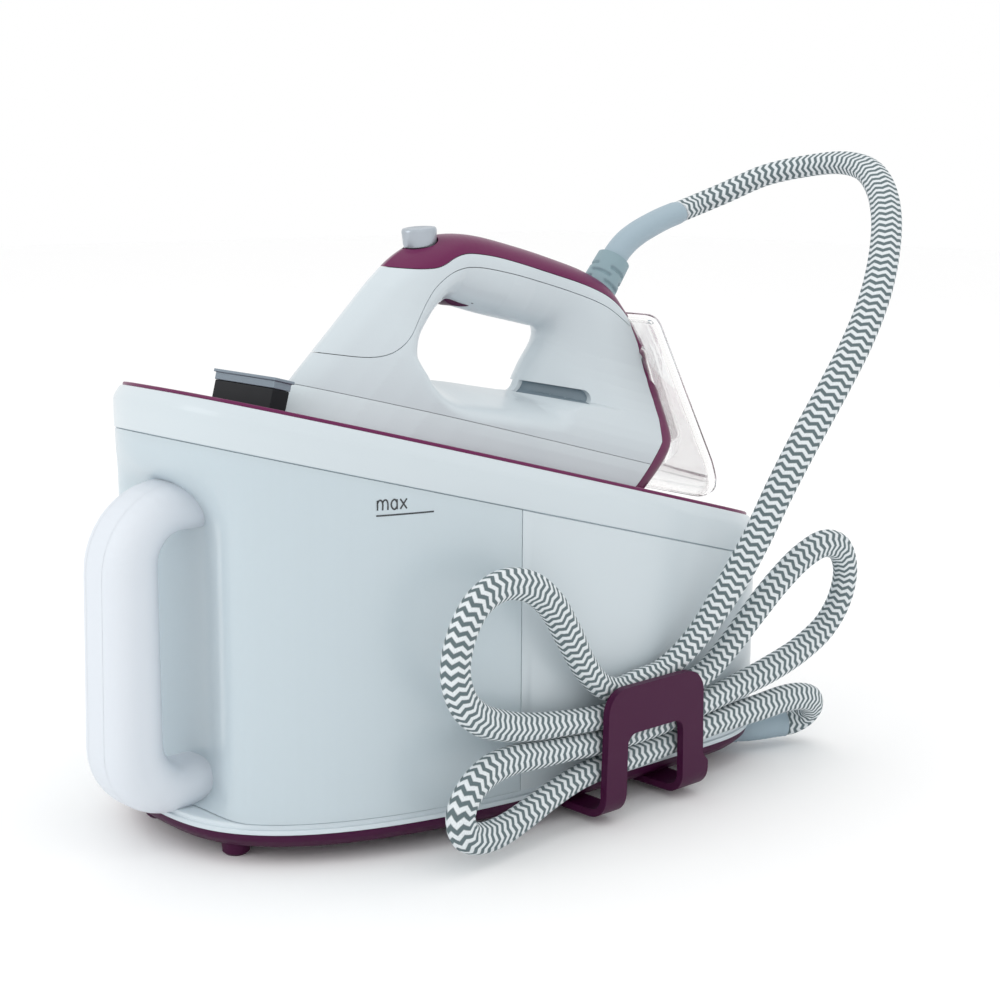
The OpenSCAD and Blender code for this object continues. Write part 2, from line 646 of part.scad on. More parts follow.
base_sleeve_route = [[109.3, 176.5, 12], [107.1, 171, 12], [104.6, 162, 12], [101, 152.5, 12],
    [96.5, 146.5, 12]];

// a plain tube with a ring of points square to the route at each of its points
function unit(v) = v / norm(v);
function heading(route, i) = unit(route[min(i + 1, len(route) - 1)] - route[max(i - 1, 0)]);
function side_of(h, before) = unit(before - h * (before * h));
function sides(route, i, before) = i == len(route) ? [] :
    let (s = side_of(heading(route, i), before)) concat([s], sides(route, i + 1, s));
function ring(centre, h, side, r) = let (up = cross(h, side))
    [for (k = [0:hose_sides - 1]) let (a = 360 * k / hose_sides)
        centre + r * (cos(a) * side + sin(a) * up)];

module tube(route, r) {
    across = sides(route, 0, [1, 0.2, 0.1]);
    n = hose_sides;
    last = len(route) - 1;
    polyhedron(
        points = [for (i = [0:last]) each ring(route[i], heading(route, i), across[i], r)],
        faces = concat([[for (k = [0:n - 1]) k]],
            [for (i = [0:last - 1]) for (k = [0:n - 1])
                [i * n + k, (i + 1) * n + k, (i + 1) * n + (k + 1) % n, i * n + (k + 1) % n]],
            [[for (k = [n - 1:-1:0]) last * n + k]]),
        convexity = 10);
}

module hose_iron_sleeve() color([0.62, 0.69, 0.73]) placed() tube(sleeve_route, hose_d / 2);
module hose_free() color([0.7, 0.73, 0.75]) placed() tube(free_route, hose_d / 2);
module hose_bundle() color([0.7, 0.73, 0.75]) placed() tube(bundle_route, hose_d / 2);
module hose_base_sleeve() color([0.62, 0.69, 0.73]) placed() tube(base_sleeve_route, hose_d / 2);

base_plate();
feet();
base_floor();
rear_housing();
collar();
tray();
rest_pads();
control_panel();
power_button();
mode_button();
indicator_lenses();
boiler();
boiler_heater();
boiler_thermostat();
pump();
steam_valve();
steam_pipe();
water_pipe();
control_board();
water_socket();
mains_gland();
hose_outlet();
descale_cap();
base_screws();
hose_clip();
lock_slider();
lock_cap();
tank_shell();
tank_valve();
tank_valve_seal();
filler_flap();
tank_grip();
tank_grip_cover();
soleplate();
steam_chamber();
iron_skirt();
iron_shell();
nose_panel();
handle_cap();
rear_cover();
heel_rest();
slot_inserts();
steam_trigger();
trigger_switch();
thumb_button();
handle_pipe();
hose_boot();
hose_iron_sleeve();
hose_free();
hose_bundle();
hose_base_sleeve();
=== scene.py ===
import bpy, math
import numpy as np
from mathutils import Vector, Matrix


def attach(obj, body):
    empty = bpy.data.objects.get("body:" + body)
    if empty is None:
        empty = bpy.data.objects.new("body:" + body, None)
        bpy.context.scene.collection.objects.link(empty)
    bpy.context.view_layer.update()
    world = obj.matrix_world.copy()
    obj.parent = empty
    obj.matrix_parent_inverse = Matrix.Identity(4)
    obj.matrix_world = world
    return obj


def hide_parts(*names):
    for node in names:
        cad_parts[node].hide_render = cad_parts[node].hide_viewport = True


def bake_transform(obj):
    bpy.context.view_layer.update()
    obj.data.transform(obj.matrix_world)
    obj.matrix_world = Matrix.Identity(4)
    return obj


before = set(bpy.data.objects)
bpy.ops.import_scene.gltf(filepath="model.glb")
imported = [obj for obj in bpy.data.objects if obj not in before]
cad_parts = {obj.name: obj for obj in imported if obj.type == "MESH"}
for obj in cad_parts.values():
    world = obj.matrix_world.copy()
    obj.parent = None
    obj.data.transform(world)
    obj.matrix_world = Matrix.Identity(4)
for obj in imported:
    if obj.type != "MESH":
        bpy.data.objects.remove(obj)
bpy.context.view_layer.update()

# ---- frames ------------------------------------------------------------------------
# Sizes below are in millimetres in a frame centred on the base's outline; row() moves them
# into the row frame, in metres. The tray frame leans with the sloping top.
MID = np.array([-11.0, 24.0, 0.0])
RIM = 184.2
SLOPE = 0.271
TILT = math.atan(SLOPE)
TC, TS = math.cos(TILT), math.sin(TILT)


def row(p):
    return (np.asarray(p, float) + MID) / 1000


def tray(p):
    p = np.asarray(p, float)
    return np.stack([p[..., 0], p[..., 1] * TC + p[..., 2] * TS,
                     RIM - p[..., 1] * TS + p[..., 2] * TC], -1)


# ---- camera ------------------------------------------------------------------------
AZ, EL, ROLL = math.radians(47.17), math.radians(10.59), math.radians(0.36)
back = Vector((math.sin(AZ) * math.cos(EL), -math.cos(AZ) * math.cos(EL), math.sin(EL)))
right = Vector((math.cos(AZ), math.sin(AZ), 0))
up = back.cross(right)
r2 = right * math.cos(ROLL) + up * math.sin(ROLL)
u2 = -right * math.sin(ROLL) + up * math.cos(ROLL)
camera = bpy.data.objects.new("camera", bpy.data.cameras.new("camera"))
bpy.context.scene.collection.objects.link(camera)
camera.data.lens = 65.12
camera.data.sensor_width = 36
camera.data.clip_end = 20
spin = Matrix((r2, u2, back)).transposed().to_4x4()
camera.matrix_world = Matrix.Translation(Vector(row((770.5, -674.1, 348.3)))) @ spin
bpy.context.scene.camera = camera

# ---- materials ---------------------------------------------------------------------


def material(name, color, rough=0.4, metal=0.0, coat=0.0, bump=0.0, scale=300.0, mottle=0.0,
             alpha=1.0, trans=0.0, ior=1.46, sub=0.0, spread=0.04, grain=2.0):
    m = bpy.data.materials.new(name)
    m.use_nodes = True
    t = m.node_tree
    b = t.nodes["Principled BSDF"]
    b.inputs["Base Color"].default_value = (*color, 1)
    b.inputs["Roughness"].default_value = rough
    b.inputs["Metallic"].default_value = metal
    b.inputs["Coat Weight"].default_value = coat
    b.inputs["Coat Roughness"].default_value = 0.08
    b.inputs["IOR"].default_value = ior
    b.inputs["Alpha"].default_value = alpha
    b.inputs["Transmission Weight"].default_value = trans
    if sub:
        b.inputs["Subsurface Weight"].default_value = sub
        b.inputs["Subsurface Radius"].default_value = (1, 1, 1)
        b.inputs["Subsurface Scale"].default_value = 0.004
    co = t.nodes.new("ShaderNodeTexCoord")
    n = t.nodes.new("ShaderNodeTexNoise")
    n.inputs["Scale"].default_value = scale
    n.inputs["Detail"].default_value = grain
    t.links.new(co.outputs["Object"], n.inputs["Vector"])
    ramp = t.nodes.new("ShaderNodeMapRange")
    ramp.inputs["To Min"].default_value = max(0.0, rough - spread)
    ramp.inputs["To Max"].default_value = min(1.0, rough + spread)
    t.links.new(n.outputs["Fac"], ramp.inputs["Value"])
    t.links.new(ramp.outputs["Result"], b.inputs["Roughness"])
    if bump:
        u = t.nodes.new("ShaderNodeBump")
        u.inputs["Strength"].default_value = bump
        u.inputs["Distance"].default_value = 0.0004
        t.links.new(n.outputs["Fac"], u.inputs["Height"])
        t.links.new(u.outputs["Normal"], b.inputs["Normal"])
    if mottle:
        mix = t.nodes.new("ShaderNodeMix")
        mix.data_type = "RGBA"
        mix.inputs["A"].default_value = (*color, 1)
        mix.inputs["B"].default_value = (*[c * (1 - mottle) for c in color], 1)
        t.links.new(n.outputs["Fac"], mix.inputs["Factor"])
        t.links.new(mix.outputs["Result"], b.inputs["Base Color"])
    return m


def srgb(r, g, b):
    return tuple(((c / 255 + 0.055) / 1.055) ** 2.4 if c > 10 else c / 255 / 12.92 for c in (r, g, b))


WHITE = material("white gloss", srgb(203, 213, 218), 0.3, coat=0.2, scale=60, spread=0.01)
WARM = material("white band", srgb(206, 217, 223), 0.32, coat=0.15, scale=60, spread=0.01)
GRIP = material("white grip", srgb(216, 222, 229), 0.5, bump=0.1, scale=700, grain=3)
SKIRT = material("pale skirt", srgb(214, 225, 229), 0.26, coat=0.2, scale=60, spread=0.01)
PLUM = material("plum gloss", srgb(102, 18, 74), 0.36, coat=0.1, scale=900, bump=0.08, spread=0.02, ior=1.35)
PLUM_DARK = material("plum dark", srgb(64, 10, 52), 0.45, scale=80, spread=0.02, ior=1.3)
SEAM = material("seam", srgb(172, 180, 186), 0.7, scale=60)
BLACK = material("black", srgb(24, 27, 31), 0.4, scale=100, ior=1.3)
RUBBER = material("black rubber", srgb(34, 34, 36), 0.7, scale=200, bump=0.1)
SILVER = material("silver paint", srgb(176, 184, 192), 0.32, metal=0.65, scale=700, bump=0.05)
SLEEVE = material("soft sleeve", srgb(156, 175, 186), 0.5, coat=0.05, scale=200)
# painted shade for the gaps at the joints around the tank
JOINT_SHADE = material("pale seal", srgb(170, 186, 194), 0.6, scale=60)
BOOT = material("ribbed boot", srgb(136, 160, 168), 0.5, scale=200)
LOCK_CAP = material("lock silver", srgb(138, 152, 163), 0.4, metal=0.4, scale=700, bump=0.03)
LENS = material("milky lens", srgb(220, 235, 240), 0.2, coat=0.4, scale=60)
STEEL = material("steel", (0.5, 0.5, 0.5), 0.35, metal=1, scale=500)
SOLE = material("sole metal", (0.55, 0.56, 0.58), 0.22, metal=1, scale=400)
CAST = material("cast alloy", (0.4, 0.4, 0.41), 0.55, metal=1, scale=300, bump=0.3)
BRASS = material("brass", (0.55, 0.4, 0.16), 0.35, metal=1, scale=300)
BOARD = material("board", srgb(20, 90, 50), 0.45, scale=200, mottle=0.2)
TUBING = material("silicone tube", srgb(225, 225, 220), 0.55, scale=200)
MARK = material("printed mark", srgb(58, 62, 66), 0.5, scale=200)
SLOT = material("slot grey", srgb(118, 134, 144), 0.4, scale=100)
CLEAR = material("clear plastic", (0.99, 0.985, 0.98), 0.03, trans=1.0, scale=40, spread=0.01, ior=1.24)


def tank_material():
    m = material("smoke tank", srgb(204, 219, 227), 0.3, coat=0.2, scale=50, ior=1.4, trans=0.22, spread=0.01)
    t = m.node_tree
    # painted light and shade: the tank's colour runs darker towards its front and lighter towards its back,
    # along object Y
    shading_ramp = t.nodes.new("ShaderNodeMapRange")
    shading_ramp.inputs["From Min"].default_value = -0.16
    shading_ramp.inputs["From Max"].default_value = -0.025
    split_xyz = t.nodes.new("ShaderNodeSeparateXYZ")
    coord = t.nodes.new("ShaderNodeTexCoord")
    painted_shading = t.nodes.new("ShaderNodeMix")
    painted_shading.data_type = "RGBA"
    painted_shading.inputs["A"].default_value = (*srgb(210, 224, 231), 1)
    painted_shading.inputs["B"].default_value = (*srgb(216, 229, 235), 1)
    t.links.new(coord.outputs["Object"], split_xyz.inputs["Vector"])
    t.links.new(split_xyz.outputs["Y"], shading_ramp.inputs["Value"])
    t.links.new(shading_ramp.outputs["Result"], painted_shading.inputs["Factor"])
    t.links.new(painted_shading.outputs["Result"], t.nodes["Principled BSDF"].inputs["Base Color"])
    return m


TANK = tank_material()

# ---- geometry tools ----------------------------------------------------------------


def add(name, verts, faces, mat, body=None, replaces=(), angle=None):
    me = bpy.data.meshes.new(name)
    me.from_pydata([tuple(v) for v in row(verts)], [], [tuple(int(i) for i in f) for f in faces])
    me.validate()
    me.update()
    o = bpy.data.objects.new(name, me)
    bpy.context.scene.collection.objects.link(o)
    me.materials.append(mat)
    me.polygons.foreach_set("use_smooth", [True] * len(me.polygons))
    if angle is not None:
        me.set_sharp_from_angle(angle=math.radians(angle))
    if replaces:
        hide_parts(*replaces)
    if body:
        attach(o, body)
    return o


def finish_piece(o, body, replaces=()):
    if replaces:
        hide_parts(*replaces)
    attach(o, body)
    return o


def loft(rings, cap0=True, cap1=True):
    """Rings of equal length to vertices and faces."""
    n = len(rings[0])
    verts = np.concatenate([np.asarray(r, float) for r in rings])
    faces = []
    m = len(rings)
    for i in range(m - 1):
        a, b = i * n, (i + 1) * n
        for k in range(n):
            faces.append((a + k, a + (k + 1) % n, b + (k + 1) % n, b + k))
    if cap0:
        faces.append(tuple(range(n - 1, -1, -1)))
    if cap1:
        faces.append(tuple(range((m - 1) * n, m * n)))
    return verts, faces


HALF_W, Y_FRONT, Y_REAR, Y_WIDE = 118.0, -199.0, 178.0, 94.0
P_FRONT, P_REAR = 2.69, 2.89


def outline(d=0.0, n=64):
    """The base's outline moved in by d, anticlockwise seen from above, starting at the front."""
    t = np.linspace(0, math.pi / 2, n)
    s = np.sin(t * 0.5) ** 2 * 2 * 0.35 + t / (math.pi / 2) * 0.65
    t = s / s[-1] * math.pi / 2
    w = HALF_W - d
    fx = w * np.sin(t) ** (2 / P_FRONT)
    fy = Y_WIDE - (Y_WIDE - Y_FRONT - d) * np.cos(t) ** (2 / P_FRONT)
    rx = w * np.cos(t) ** (2 / P_REAR)
    ry = Y_WIDE + (Y_REAR - Y_WIDE - d) * np.sin(t) ** (2 / P_REAR)
    near = np.stack([np.concatenate([fx, rx[1:]]), np.concatenate([fy, ry[1:]])], 1)
    near = even(near, 2 * n)
    far = near[-2:0:-1] * [-1, 1]
    return np.concatenate([near, far])


def even(p, n):
    """Resamples an open line to n points evenly spaced along it."""
    p = np.asarray(p, float)
    s = np.concatenate([[0], np.cumsum(np.linalg.norm(np.diff(p, axis=0), axis=1))])
    q = np.linspace(0, s[-1], n)
    return np.stack([np.interp(q, s, p[:, k]) for k in range(p.shape[1])], 1)


def slab_rings(profile, n=64, tilted=False):
    """Rings of the base's outline for a profile of (inset, height); tilted ones lie in the rim's plane."""
    rings = []
    for d, h in profile:
        o = outline(d, n)
        z = (RIM - SLOPE * o[:, 1] + h / TC) if tilted else np.full(len(o), float(h))
        rings.append(np.column_stack([o, z]))
    return rings


def arc(cx, cy, r, a0, a1, n):
    return [(cx + r * math.cos(math.radians(a)), cy + r * math.sin(math.radians(a)))
            for a in np.linspace(a0, a1, n)]


def curve(points, n=12, closed=False):
    """A Catmull-Rom line through points."""
    p = np.asarray(points, float)
    m = len(p)
    out = []
    for i in range(m if closed else m - 1):
        if closed:
            a, b, c, d = p[i - 1], p[i], p[(i + 1) % m], p[(i + 2) % m]
        else:
            a, b, c, d = p[max(i - 1, 0)], p[i], p[i + 1], p[min(i + 2, m - 1)]
        ab, bc, cd = (max(np.linalg.norm(v), 1e-9) ** 0.5 for v in (b - a, c - b, d - c))
        t0, t1, t2, t3 = 0, ab, ab + bc, ab + bc + cd
        for k in range(n):
            t = t1 + (t2 - t1) * k / n
            if t1 - t0 < 1e-6:
                a1 = b
            else:
                a1 = (t1 - t) / (t1 - t0) * a + (t - t0) / (t1 - t0) * b
            a2 = (t2 - t) / (t2 - t1) * b + (t - t1) / (t2 - t1) * c
            if t3 - t2 < 1e-6:
                a3 = c
            else:
                a3 = (t3 - t) / (t3 - t2) * c + (t - t2) / (t3 - t2) * d
            if t2 - t0 < 1e-6:
                b1 = b
            else:
                b1 = (t2 - t) / (t2 - t0) * a1 + (t - t0) / (t2 - t0) * a2
            b2 = (t3 - t) / (t3 - t1) * a2 + (t - t1) / (t3 - t1) * a3
            out.append((t2 - t) / (t2 - t1) * b1 + (t - t1) / (t2 - t1) * b2)
    if not closed:
        out.append(p[-1])
    return np.array(out)


def poly_dist(poly, u, v):
    """Signed distance to a closed polygon, negative inside."""
    poly = np.asarray(poly, float)
    best = np.full(u.shape, 1e18)
    inside = np.zeros(u.shape, bool)
    for i in range(len(poly)):
        ax, ay = poly[i]
        bx, by = poly[(i + 1) % len(poly)]
        ex, ey = bx - ax, by - ay
        l2 = ex * ex + ey * ey
        if l2 < 1e-12:
            continue
        px, py = u - ax, v - ay
        t = np.clip((px * ex + py * ey) / l2, 0, 1)
        dx, dy = px - ex * t, py - ey * t
        best = np.minimum(best, dx * dx + dy * dy)
        if ay != by:
            hit = ((ay > v) != (by > v)) & (u < ex * (v - ay) / (by - ay) + ax)
            inside ^= hit
    d = np.sqrt(best)
    return np.where(inside, -d, d)


def smax(a, b, k):
    h = np.maximum(k - np.abs(a - b), 0) / k
    return np.maximum(a, b) + h * h * k / 4


def gradient(f, p, e=0.05):
    g = np.zeros_like(p)
    for a in range(3):
        d = np.zeros(3)
        d[a] = e
        g[:, a] = (f(p + d) - f(p - d)) / (2 * e)
    return g


def nets(f, lo, hi, h):
    """Surface of f = 0 as a closed mesh of quads, drawn onto the surface."""
    lo, hi = np.asarray(lo, float), np.asarray(hi, float)
    n = np.ceil((hi - lo) / h).astype(int) + 1
    ax = [lo[i] + h * np.arange(n[i]) for i in range(3)]
    g = np.stack(np.meshgrid(*ax, indexing="ij"), -1).reshape(-1, 3)
    F = np.concatenate([f(part) for part in np.array_split(g, max(1, len(g) // 200000))]).reshape(n)
    S = F < 0
    c = np.zeros(tuple(n - 1), np.int8)
    for i in (0, 1):
        for j in (0, 1):
            for k in (0, 1):
                c += S[i:n[0] - 1 + i, j:n[1] - 1 + j, k:n[2] - 1 + k]
    mixed = (c > 0) & (c < 8)
    cells = np.argwhere(mixed)
    idx = -np.ones(mixed.shape, np.int64)
    idx[mixed] = np.arange(len(cells))
    acc, num = np.zeros((len(cells), 3)), np.zeros(len(cells))
    for a in range(3):
        b, d = (a + 1) % 3, (a + 2) % 3
        for i in (0, 1):
            for j in (0, 1):
                o0 = np.zeros(3, int)
                o0[b], o0[d] = i, j
                o1 = o0.copy()
                o1[a] = 1
                q0, q1 = cells + o0, cells + o1
                f0, f1 = F[tuple(q0.T)], F[tuple(q1.T)]
                m = (f0 < 0) != (f1 < 0)
                t = np.where(m, f0 / np.where(m, f0 - f1, 1), 0)
                p = q0.astype(float)
                p[:, a] += t
                acc[m] += p[m]
                num[m] += 1
    V = lo + h * acc / num[:, None]
    for _ in range(4):
        val = f(V)
        gr = gradient(f, V)
        V = V - np.clip(val, -h, h)[:, None] * gr / np.maximum((gr * gr).sum(1), 0.2)[:, None]
    faces = []
    for a in range(3):
        b, d = (a + 1) % 3, (a + 2) % 3
        s0 = [slice(None)] * 3
        s1 = [slice(None)] * 3
        s0[a], s1[a] = slice(0, -1), slice(1, None)
        A, B = S[tuple(s0)], S[tuple(s1)]
        e = np.argwhere(A != B)
        ok = (e[:, b] > 0) & (e[:, d] > 0) & (e[:, b] < n[b] - 1) & (e[:, d] < n[d] - 1)
        e = e[ok]
        inward = A[tuple(e.T)]
        q = []
        for db, dd in ((-1, -1), (0, -1), (0, 0), (-1, 0)):
            k = e.copy()
            k[:, b] += db
            k[:, d] += dd
            q.append(idx[tuple(k.T)])
        q = np.stack(q, 1)
        q[~inward] = q[~inward][:, ::-1]
        faces.append(q)
    return V, np.concatenate(faces)


def raw(name, verts, faces):
    me = bpy.data.meshes.new(name)
    me.from_pydata([tuple(v) for v in verts], [], [tuple(int(i) for i in f) for f in faces])
    me.update()
    o = bpy.data.objects.new(name, me)
    bpy.context.scene.collection.objects.link(o)
    return o


def cut(o, other, how):
    """Boolean of o with other, in place."""
    m = o.modifiers.new("b", "BOOLEAN")
    m.operation = how
    m.solver = "MANIFOLD"
    m.object = other
    dg = bpy.context.evaluated_depsgraph_get()
    me = bpy.data.meshes.new_from_object(o.evaluated_get(dg))
    o.modifiers.clear()
    old = o.data
    o.data = me
    bpy.data.meshes.remove(old)
    return o


def drop(*objs):
    for o in objs:
        me = o.data
        bpy.data.objects.remove(o)
        bpy.data.meshes.remove(me)


def copy(o, name):
    c = bpy.data.objects.new(name, o.data.copy())
    bpy.context.scene.collection.objects.link(c)
    return c


def side_prism(points, half_w, name="side"):
    """A prism along X over an outline in Y and Z."""
    p = np.asarray(points, float)
    area = np.sum(p[:, 0] * np.roll(p[:, 1], -1) - np.roll(p[:, 0], -1) * p[:, 1])
    if area < 0:
        p = p[::-1]
    a = np.column_stack([np.full(len(p), -half_w), p])
    b = np.column_stack([np.full(len(p), half_w), p])
    return raw(name, *loft([a, b]))


def block(lo, hi, name="block"):
    (x0, y0, z0), (x1, y1, z1) = lo, hi
    v = [(x, y, z) for z in (z0, z1) for x, y in ((x0, y0), (x1, y0), (x1, y1), (x0, y1))]
    f = [(3, 2, 1, 0), (4, 5, 6, 7), (0, 1, 5, 4), (1, 2, 6, 5), (2, 3, 7, 6), (3, 0, 4, 7)]
    return raw(name, v, f)


def settle(o, mat, body, replaces=(), to_row=row, f=None, angle=35, bevel=0.0):
    """Finishes a piece drawn in millimetres: shading normals from f where they agree, then its place."""
    me = o.data
    co = np.zeros(len(me.vertices) * 3)
    me.vertices.foreach_get("co", co)
    co = co.reshape(-1, 3)
    loops = None
    if f is not None and len(me.polygons):
        g = gradient(f, co)
        g /= np.maximum(np.linalg.norm(g, axis=1), 1e-9)[:, None]
        lv = np.zeros(len(me.loops), int)
        me.loops.foreach_get("vertex_index", lv)
        fn = np.zeros(len(me.polygons) * 3)
        me.polygons.foreach_get("normal", fn)
        fn = fn.reshape(-1, 3)
        tot = np.zeros(len(me.polygons), int)
        me.polygons.foreach_get("loop_total", tot)
        ln = np.repeat(fn, tot, axis=0)
        gl = g[lv]
        same = (gl * ln).sum(1) > math.cos(math.radians(angle))
        size = np.array([q.area for q in me.polygons])
        ends = np.cumsum(tot)
        step = np.linalg.norm(co[lv] - co[np.roll(lv, -1)], axis=1)
        step[ends - 1] = np.linalg.norm(co[lv[ends - 1]] - co[lv[ends - tot]], axis=1)
        around = np.add.reduceat(step, ends - tot)
        same |= np.repeat(size < 0.008 * around ** 2, tot)
        loops = np.where(same[:, None], gl, ln)
        base = to_row(np.zeros((1, 3)))[0]
        axes = np.stack([to_row(np.eye(3)[k][None])[0] - base for k in range(3)], 0) * 1000
        loops = loops @ axes
    new = to_row(co)
    me.vertices.foreach_set("co", np.asarray(new).reshape(-1))
    me.update()
    me.polygons.foreach_set("use_smooth", [True] * len(me.polygons))
    if loops is not None:
        me.normals_split_custom_set([tuple(v) for v in loops])
    else:
        me.set_sharp_from_angle(angle=math.radians(angle))
    me.materials.clear()
    me.materials.append(mat)
    if bevel:
        b = o.modifiers.new("edges", "BEVEL")
        b.width = bevel / 1000
        b.segments = 3
        b.limit_method = "ANGLE"
        b.angle_limit = math.radians(35)
        b.harden_normals = True
    return finish_piece(o, body, replaces)


def tray_row(p):
    return row(tray(p))


def leaning(p, y, z, angle):
    """Points of a frame at (y, z) in the frame of the tray, turned about X by an angle in radians."""
    p = np.asarray(p, float)
    c, s = math.cos(angle), math.sin(angle)
    return np.stack([p[..., 0], y + p[..., 1] * c - p[..., 2] * s, z + p[..., 1] * s + p[..., 2] * c], -1)


# ---- the steam hose ----------------------------------------------------------------
CLIP_X = 126.8
SLEEVE_ROUTE = [(0, 131, 286.8), (0, 136.5, 293.8), (0, 144, 300), (0, 153, 305), (0, 165, 309.8),
                (0, 178.5, 314.3), (2, 190, 318)]
FREE_ROUTE = [(2, 190, 318), (4.1, 202.2, 321.9), (15, 217, 329.5), (33, 236, 341), (57, 248, 347),
              (83, 249, 349), (106, 242, 345), (124, 231, 335), (140, 216, 319), (152, 199, 299),
              (160, 181, 276), (163, 162, 251), (162, 143, 226), (158, 126, 200), (152, 111, 171),
              (146, 98, 142), (139, 84, 115), (131, 66, 88), (CLIP_X, 46, 74), (CLIP_X, 26, 71.5)]
BUNDLE_ROUTE = [(CLIP_X, 26, 71.5), (CLIP_X, 10, 70), (127, -3, 74.5), (128, -17, 88),
                (129.5, -31, 108), (131.5, -46, 127), (134, -64, 139.5), (136, -84, 143.5),
                (137.5, -102, 137), (138, -113, 122), (137.5, -116, 105), (136, -110, 89.5),
                (133.5, -97, 77.5), (130.5, -78, 69), (128, -55, 63), (CLIP_X, -30, 59.5),
                (CLIP_X, 0, 57), (CLIP_X, 35, 57.5), (CLIP_X, 62, 61), (127.5, 83, 67.5),
                (130, 99, 80), (133, 115.5, 96.5), (136, 133, 112.5), (138.5, 152, 125),
                (140, 169, 130), (140, 184, 125), (139, 192, 111), (137.5, 189.5, 93),
                (135, 179, 77.5), (132, 160, 66), (130, 136, 58.5), (128, 110, 53), (127, 85, 49),
                (CLIP_X, 62, 46), (CLIP_X, 35, 43.6), (CLIP_X, 0, 43.4), (CLIP_X, -25, 44.8),
                (128, -50, 47), (130.5, -72, 49.5), (133.5, -92, 48), (136, -106, 41), (137, -112, 31),
                (136.5, -108.5, 21), (135, -97, 15.5), (132.5, -80, 14.5), (130, -60, 18),
                (128, -40, 23), (CLIP_X, -20, 27), (CLIP_X, 0, 29), (CLIP_X, 35, 30), (CLIP_X, 62, 32),
                (127.5, 84, 34.5), (128, 107, 35.5), (129, 130, 36.5), (129, 152, 37),
                (128.5, 167, 35), (126, 180, 30), (121, 188, 22), (115.5, 187.5, 15), (111.5, 182, 12),
                (109.3, 176.5, 12)]
TAIL_ROUTE = [(109.3, 176.5, 12), (107.1, 171, 12), (104.6, 162, 12), (101, 152.5, 12),
              (96.5, 146.5, 12)]


def sweep(line, wide, thin, sides, twist=None, start_up=(1, 0, 0)):
    """Rings of an oval section along a line. wide lies across `up`, which is carried along."""
    line = np.asarray(line, float)
    m = len(line)
    tan = np.gradient(line, axis=0)
    tan /= np.linalg.norm(tan, axis=1)[:, None]
    ups = np.zeros_like(line)
    u = np.asarray(start_up, float)
    for i in range(m):
        if twist is not None:
            u = twist(line[i], u)
        u = u - tan[i] * (u @ tan[i])
        u /= np.linalg.norm(u)
        ups[i] = u
    side = np.cross(tan, ups)
    rings = []
    for i in range(m):
        w = wide[i] if hasattr(wide, "__len__") else wide
        t = thin[i] if hasattr(thin, "__len__") else thin
        a = np.linspace(0, 2 * math.pi, sides, endpoint=False)
        rings.append(line[i] + np.outer(np.cos(a) * t / 2, ups[i]) + np.outer(np.sin(a) * w / 2, side[i]))
    return rings


# the zigzag: teeth round the hose, millimetres between rows, and a tooth's height in rows
TEETH, PITCH, AMP = 7.0, 4.6, 0.85


def braid_material():
    m = bpy.data.materials.new("braid")
    m.use_nodes = True
    t = m.node_tree
    b = t.nodes["Principled BSDF"]
    N, K = t.nodes.new, t.links.new

    def math_node(op, a, c=None):
        n = N("ShaderNodeMath")
        n.operation = op
        for i, v in enumerate((a, c)):
            if v is None:
                continue
            if isinstance(v, (int, float)):
                n.inputs[i].default_value = v
            else:
                K(v, n.inputs[i])
        return n.outputs[0]

    uv = N("ShaderNodeUVMap")
    uv.uv_map = "along"
    sep = N("ShaderNodeSeparateXYZ")
    K(uv.outputs[0], sep.inputs[0])
    s, a = sep.outputs[0], sep.outputs[1]
    tooth = math_node("PINGPONG", math_node("MULTIPLY", a, TEETH), 0.5)
    rowpos = math_node("ADD", math_node("MULTIPLY", s, 1.0 / PITCH), math_node("MULTIPLY", tooth, AMP))
    wave = math_node("SINE", math_node("MULTIPLY", rowpos, 2 * math.pi))
    mask = N("ShaderNodeMapRange")
    mask.inputs["From Min"].default_value = -0.35
    mask.inputs["From Max"].default_value = 0.35
    K(wave, mask.inputs["Value"])
    # yarn grain along the braid
    yarn = N("ShaderNodeTexNoise")
    yarn.inputs["Scale"].default_value = 1.0
    yarn.inputs["Detail"].default_value = 2.0
    comb = N("ShaderNodeCombineXYZ")
    K(math_node("MULTIPLY", s, 1.6), comb.inputs[0])
    K(math_node("MULTIPLY", a, 90.0), comb.inputs[1])
    K(comb.outputs[0], yarn.inputs["Vector"])
    mix = N("ShaderNodeMix")
    mix.data_type = "RGBA"
    mix.inputs["A"].default_value = (*srgb(96, 112, 116), 1)
    mix.inputs["B"].default_value = (*srgb(226, 232, 235), 1)
    K(mask.outputs[0], mix.inputs["Factor"])
    shade = N("ShaderNodeMix")
    shade.data_type = "RGBA"
    shade.blend_type = "MULTIPLY"
    shade.inputs["Factor"].default_value = 0.35
    K(mix.outputs["Result"], shade.inputs["A"])
    tone = N("ShaderNodeMapRange")
    tone.inputs["From Min"].default_value = 0.3
    tone.inputs["From Max"].default_value = 0.7
    tone.inputs["To Min"].default_value = 0.6
    tone.inputs["To Max"].default_value = 1.15
    K(yarn.outputs["Fac"], tone.inputs["Value"])
    grey = N("ShaderNodeCombineColor")
    for i in range(3):
        K(tone.outputs[0], grey.inputs[i])
    K(grey.outputs[0], shade.inputs["B"])
    K(shade.outputs["Result"], b.inputs["Base Color"])
    b.inputs["Roughness"].default_value = 0.85
    height = math_node("ADD", math_node("MULTIPLY", wave, 0.5),
                       math_node("MULTIPLY", yarn.outputs["Fac"], 0.5))
    bump = N("ShaderNodeBump")
    bump.inputs["Strength"].default_value = 0.6
    bump.inputs["Distance"].default_value = 0.0006
    K(height, bump.inputs["Height"])
    K(bump.outputs["Normal"], b.inputs["Normal"])
    return m


BRAID = braid_material()


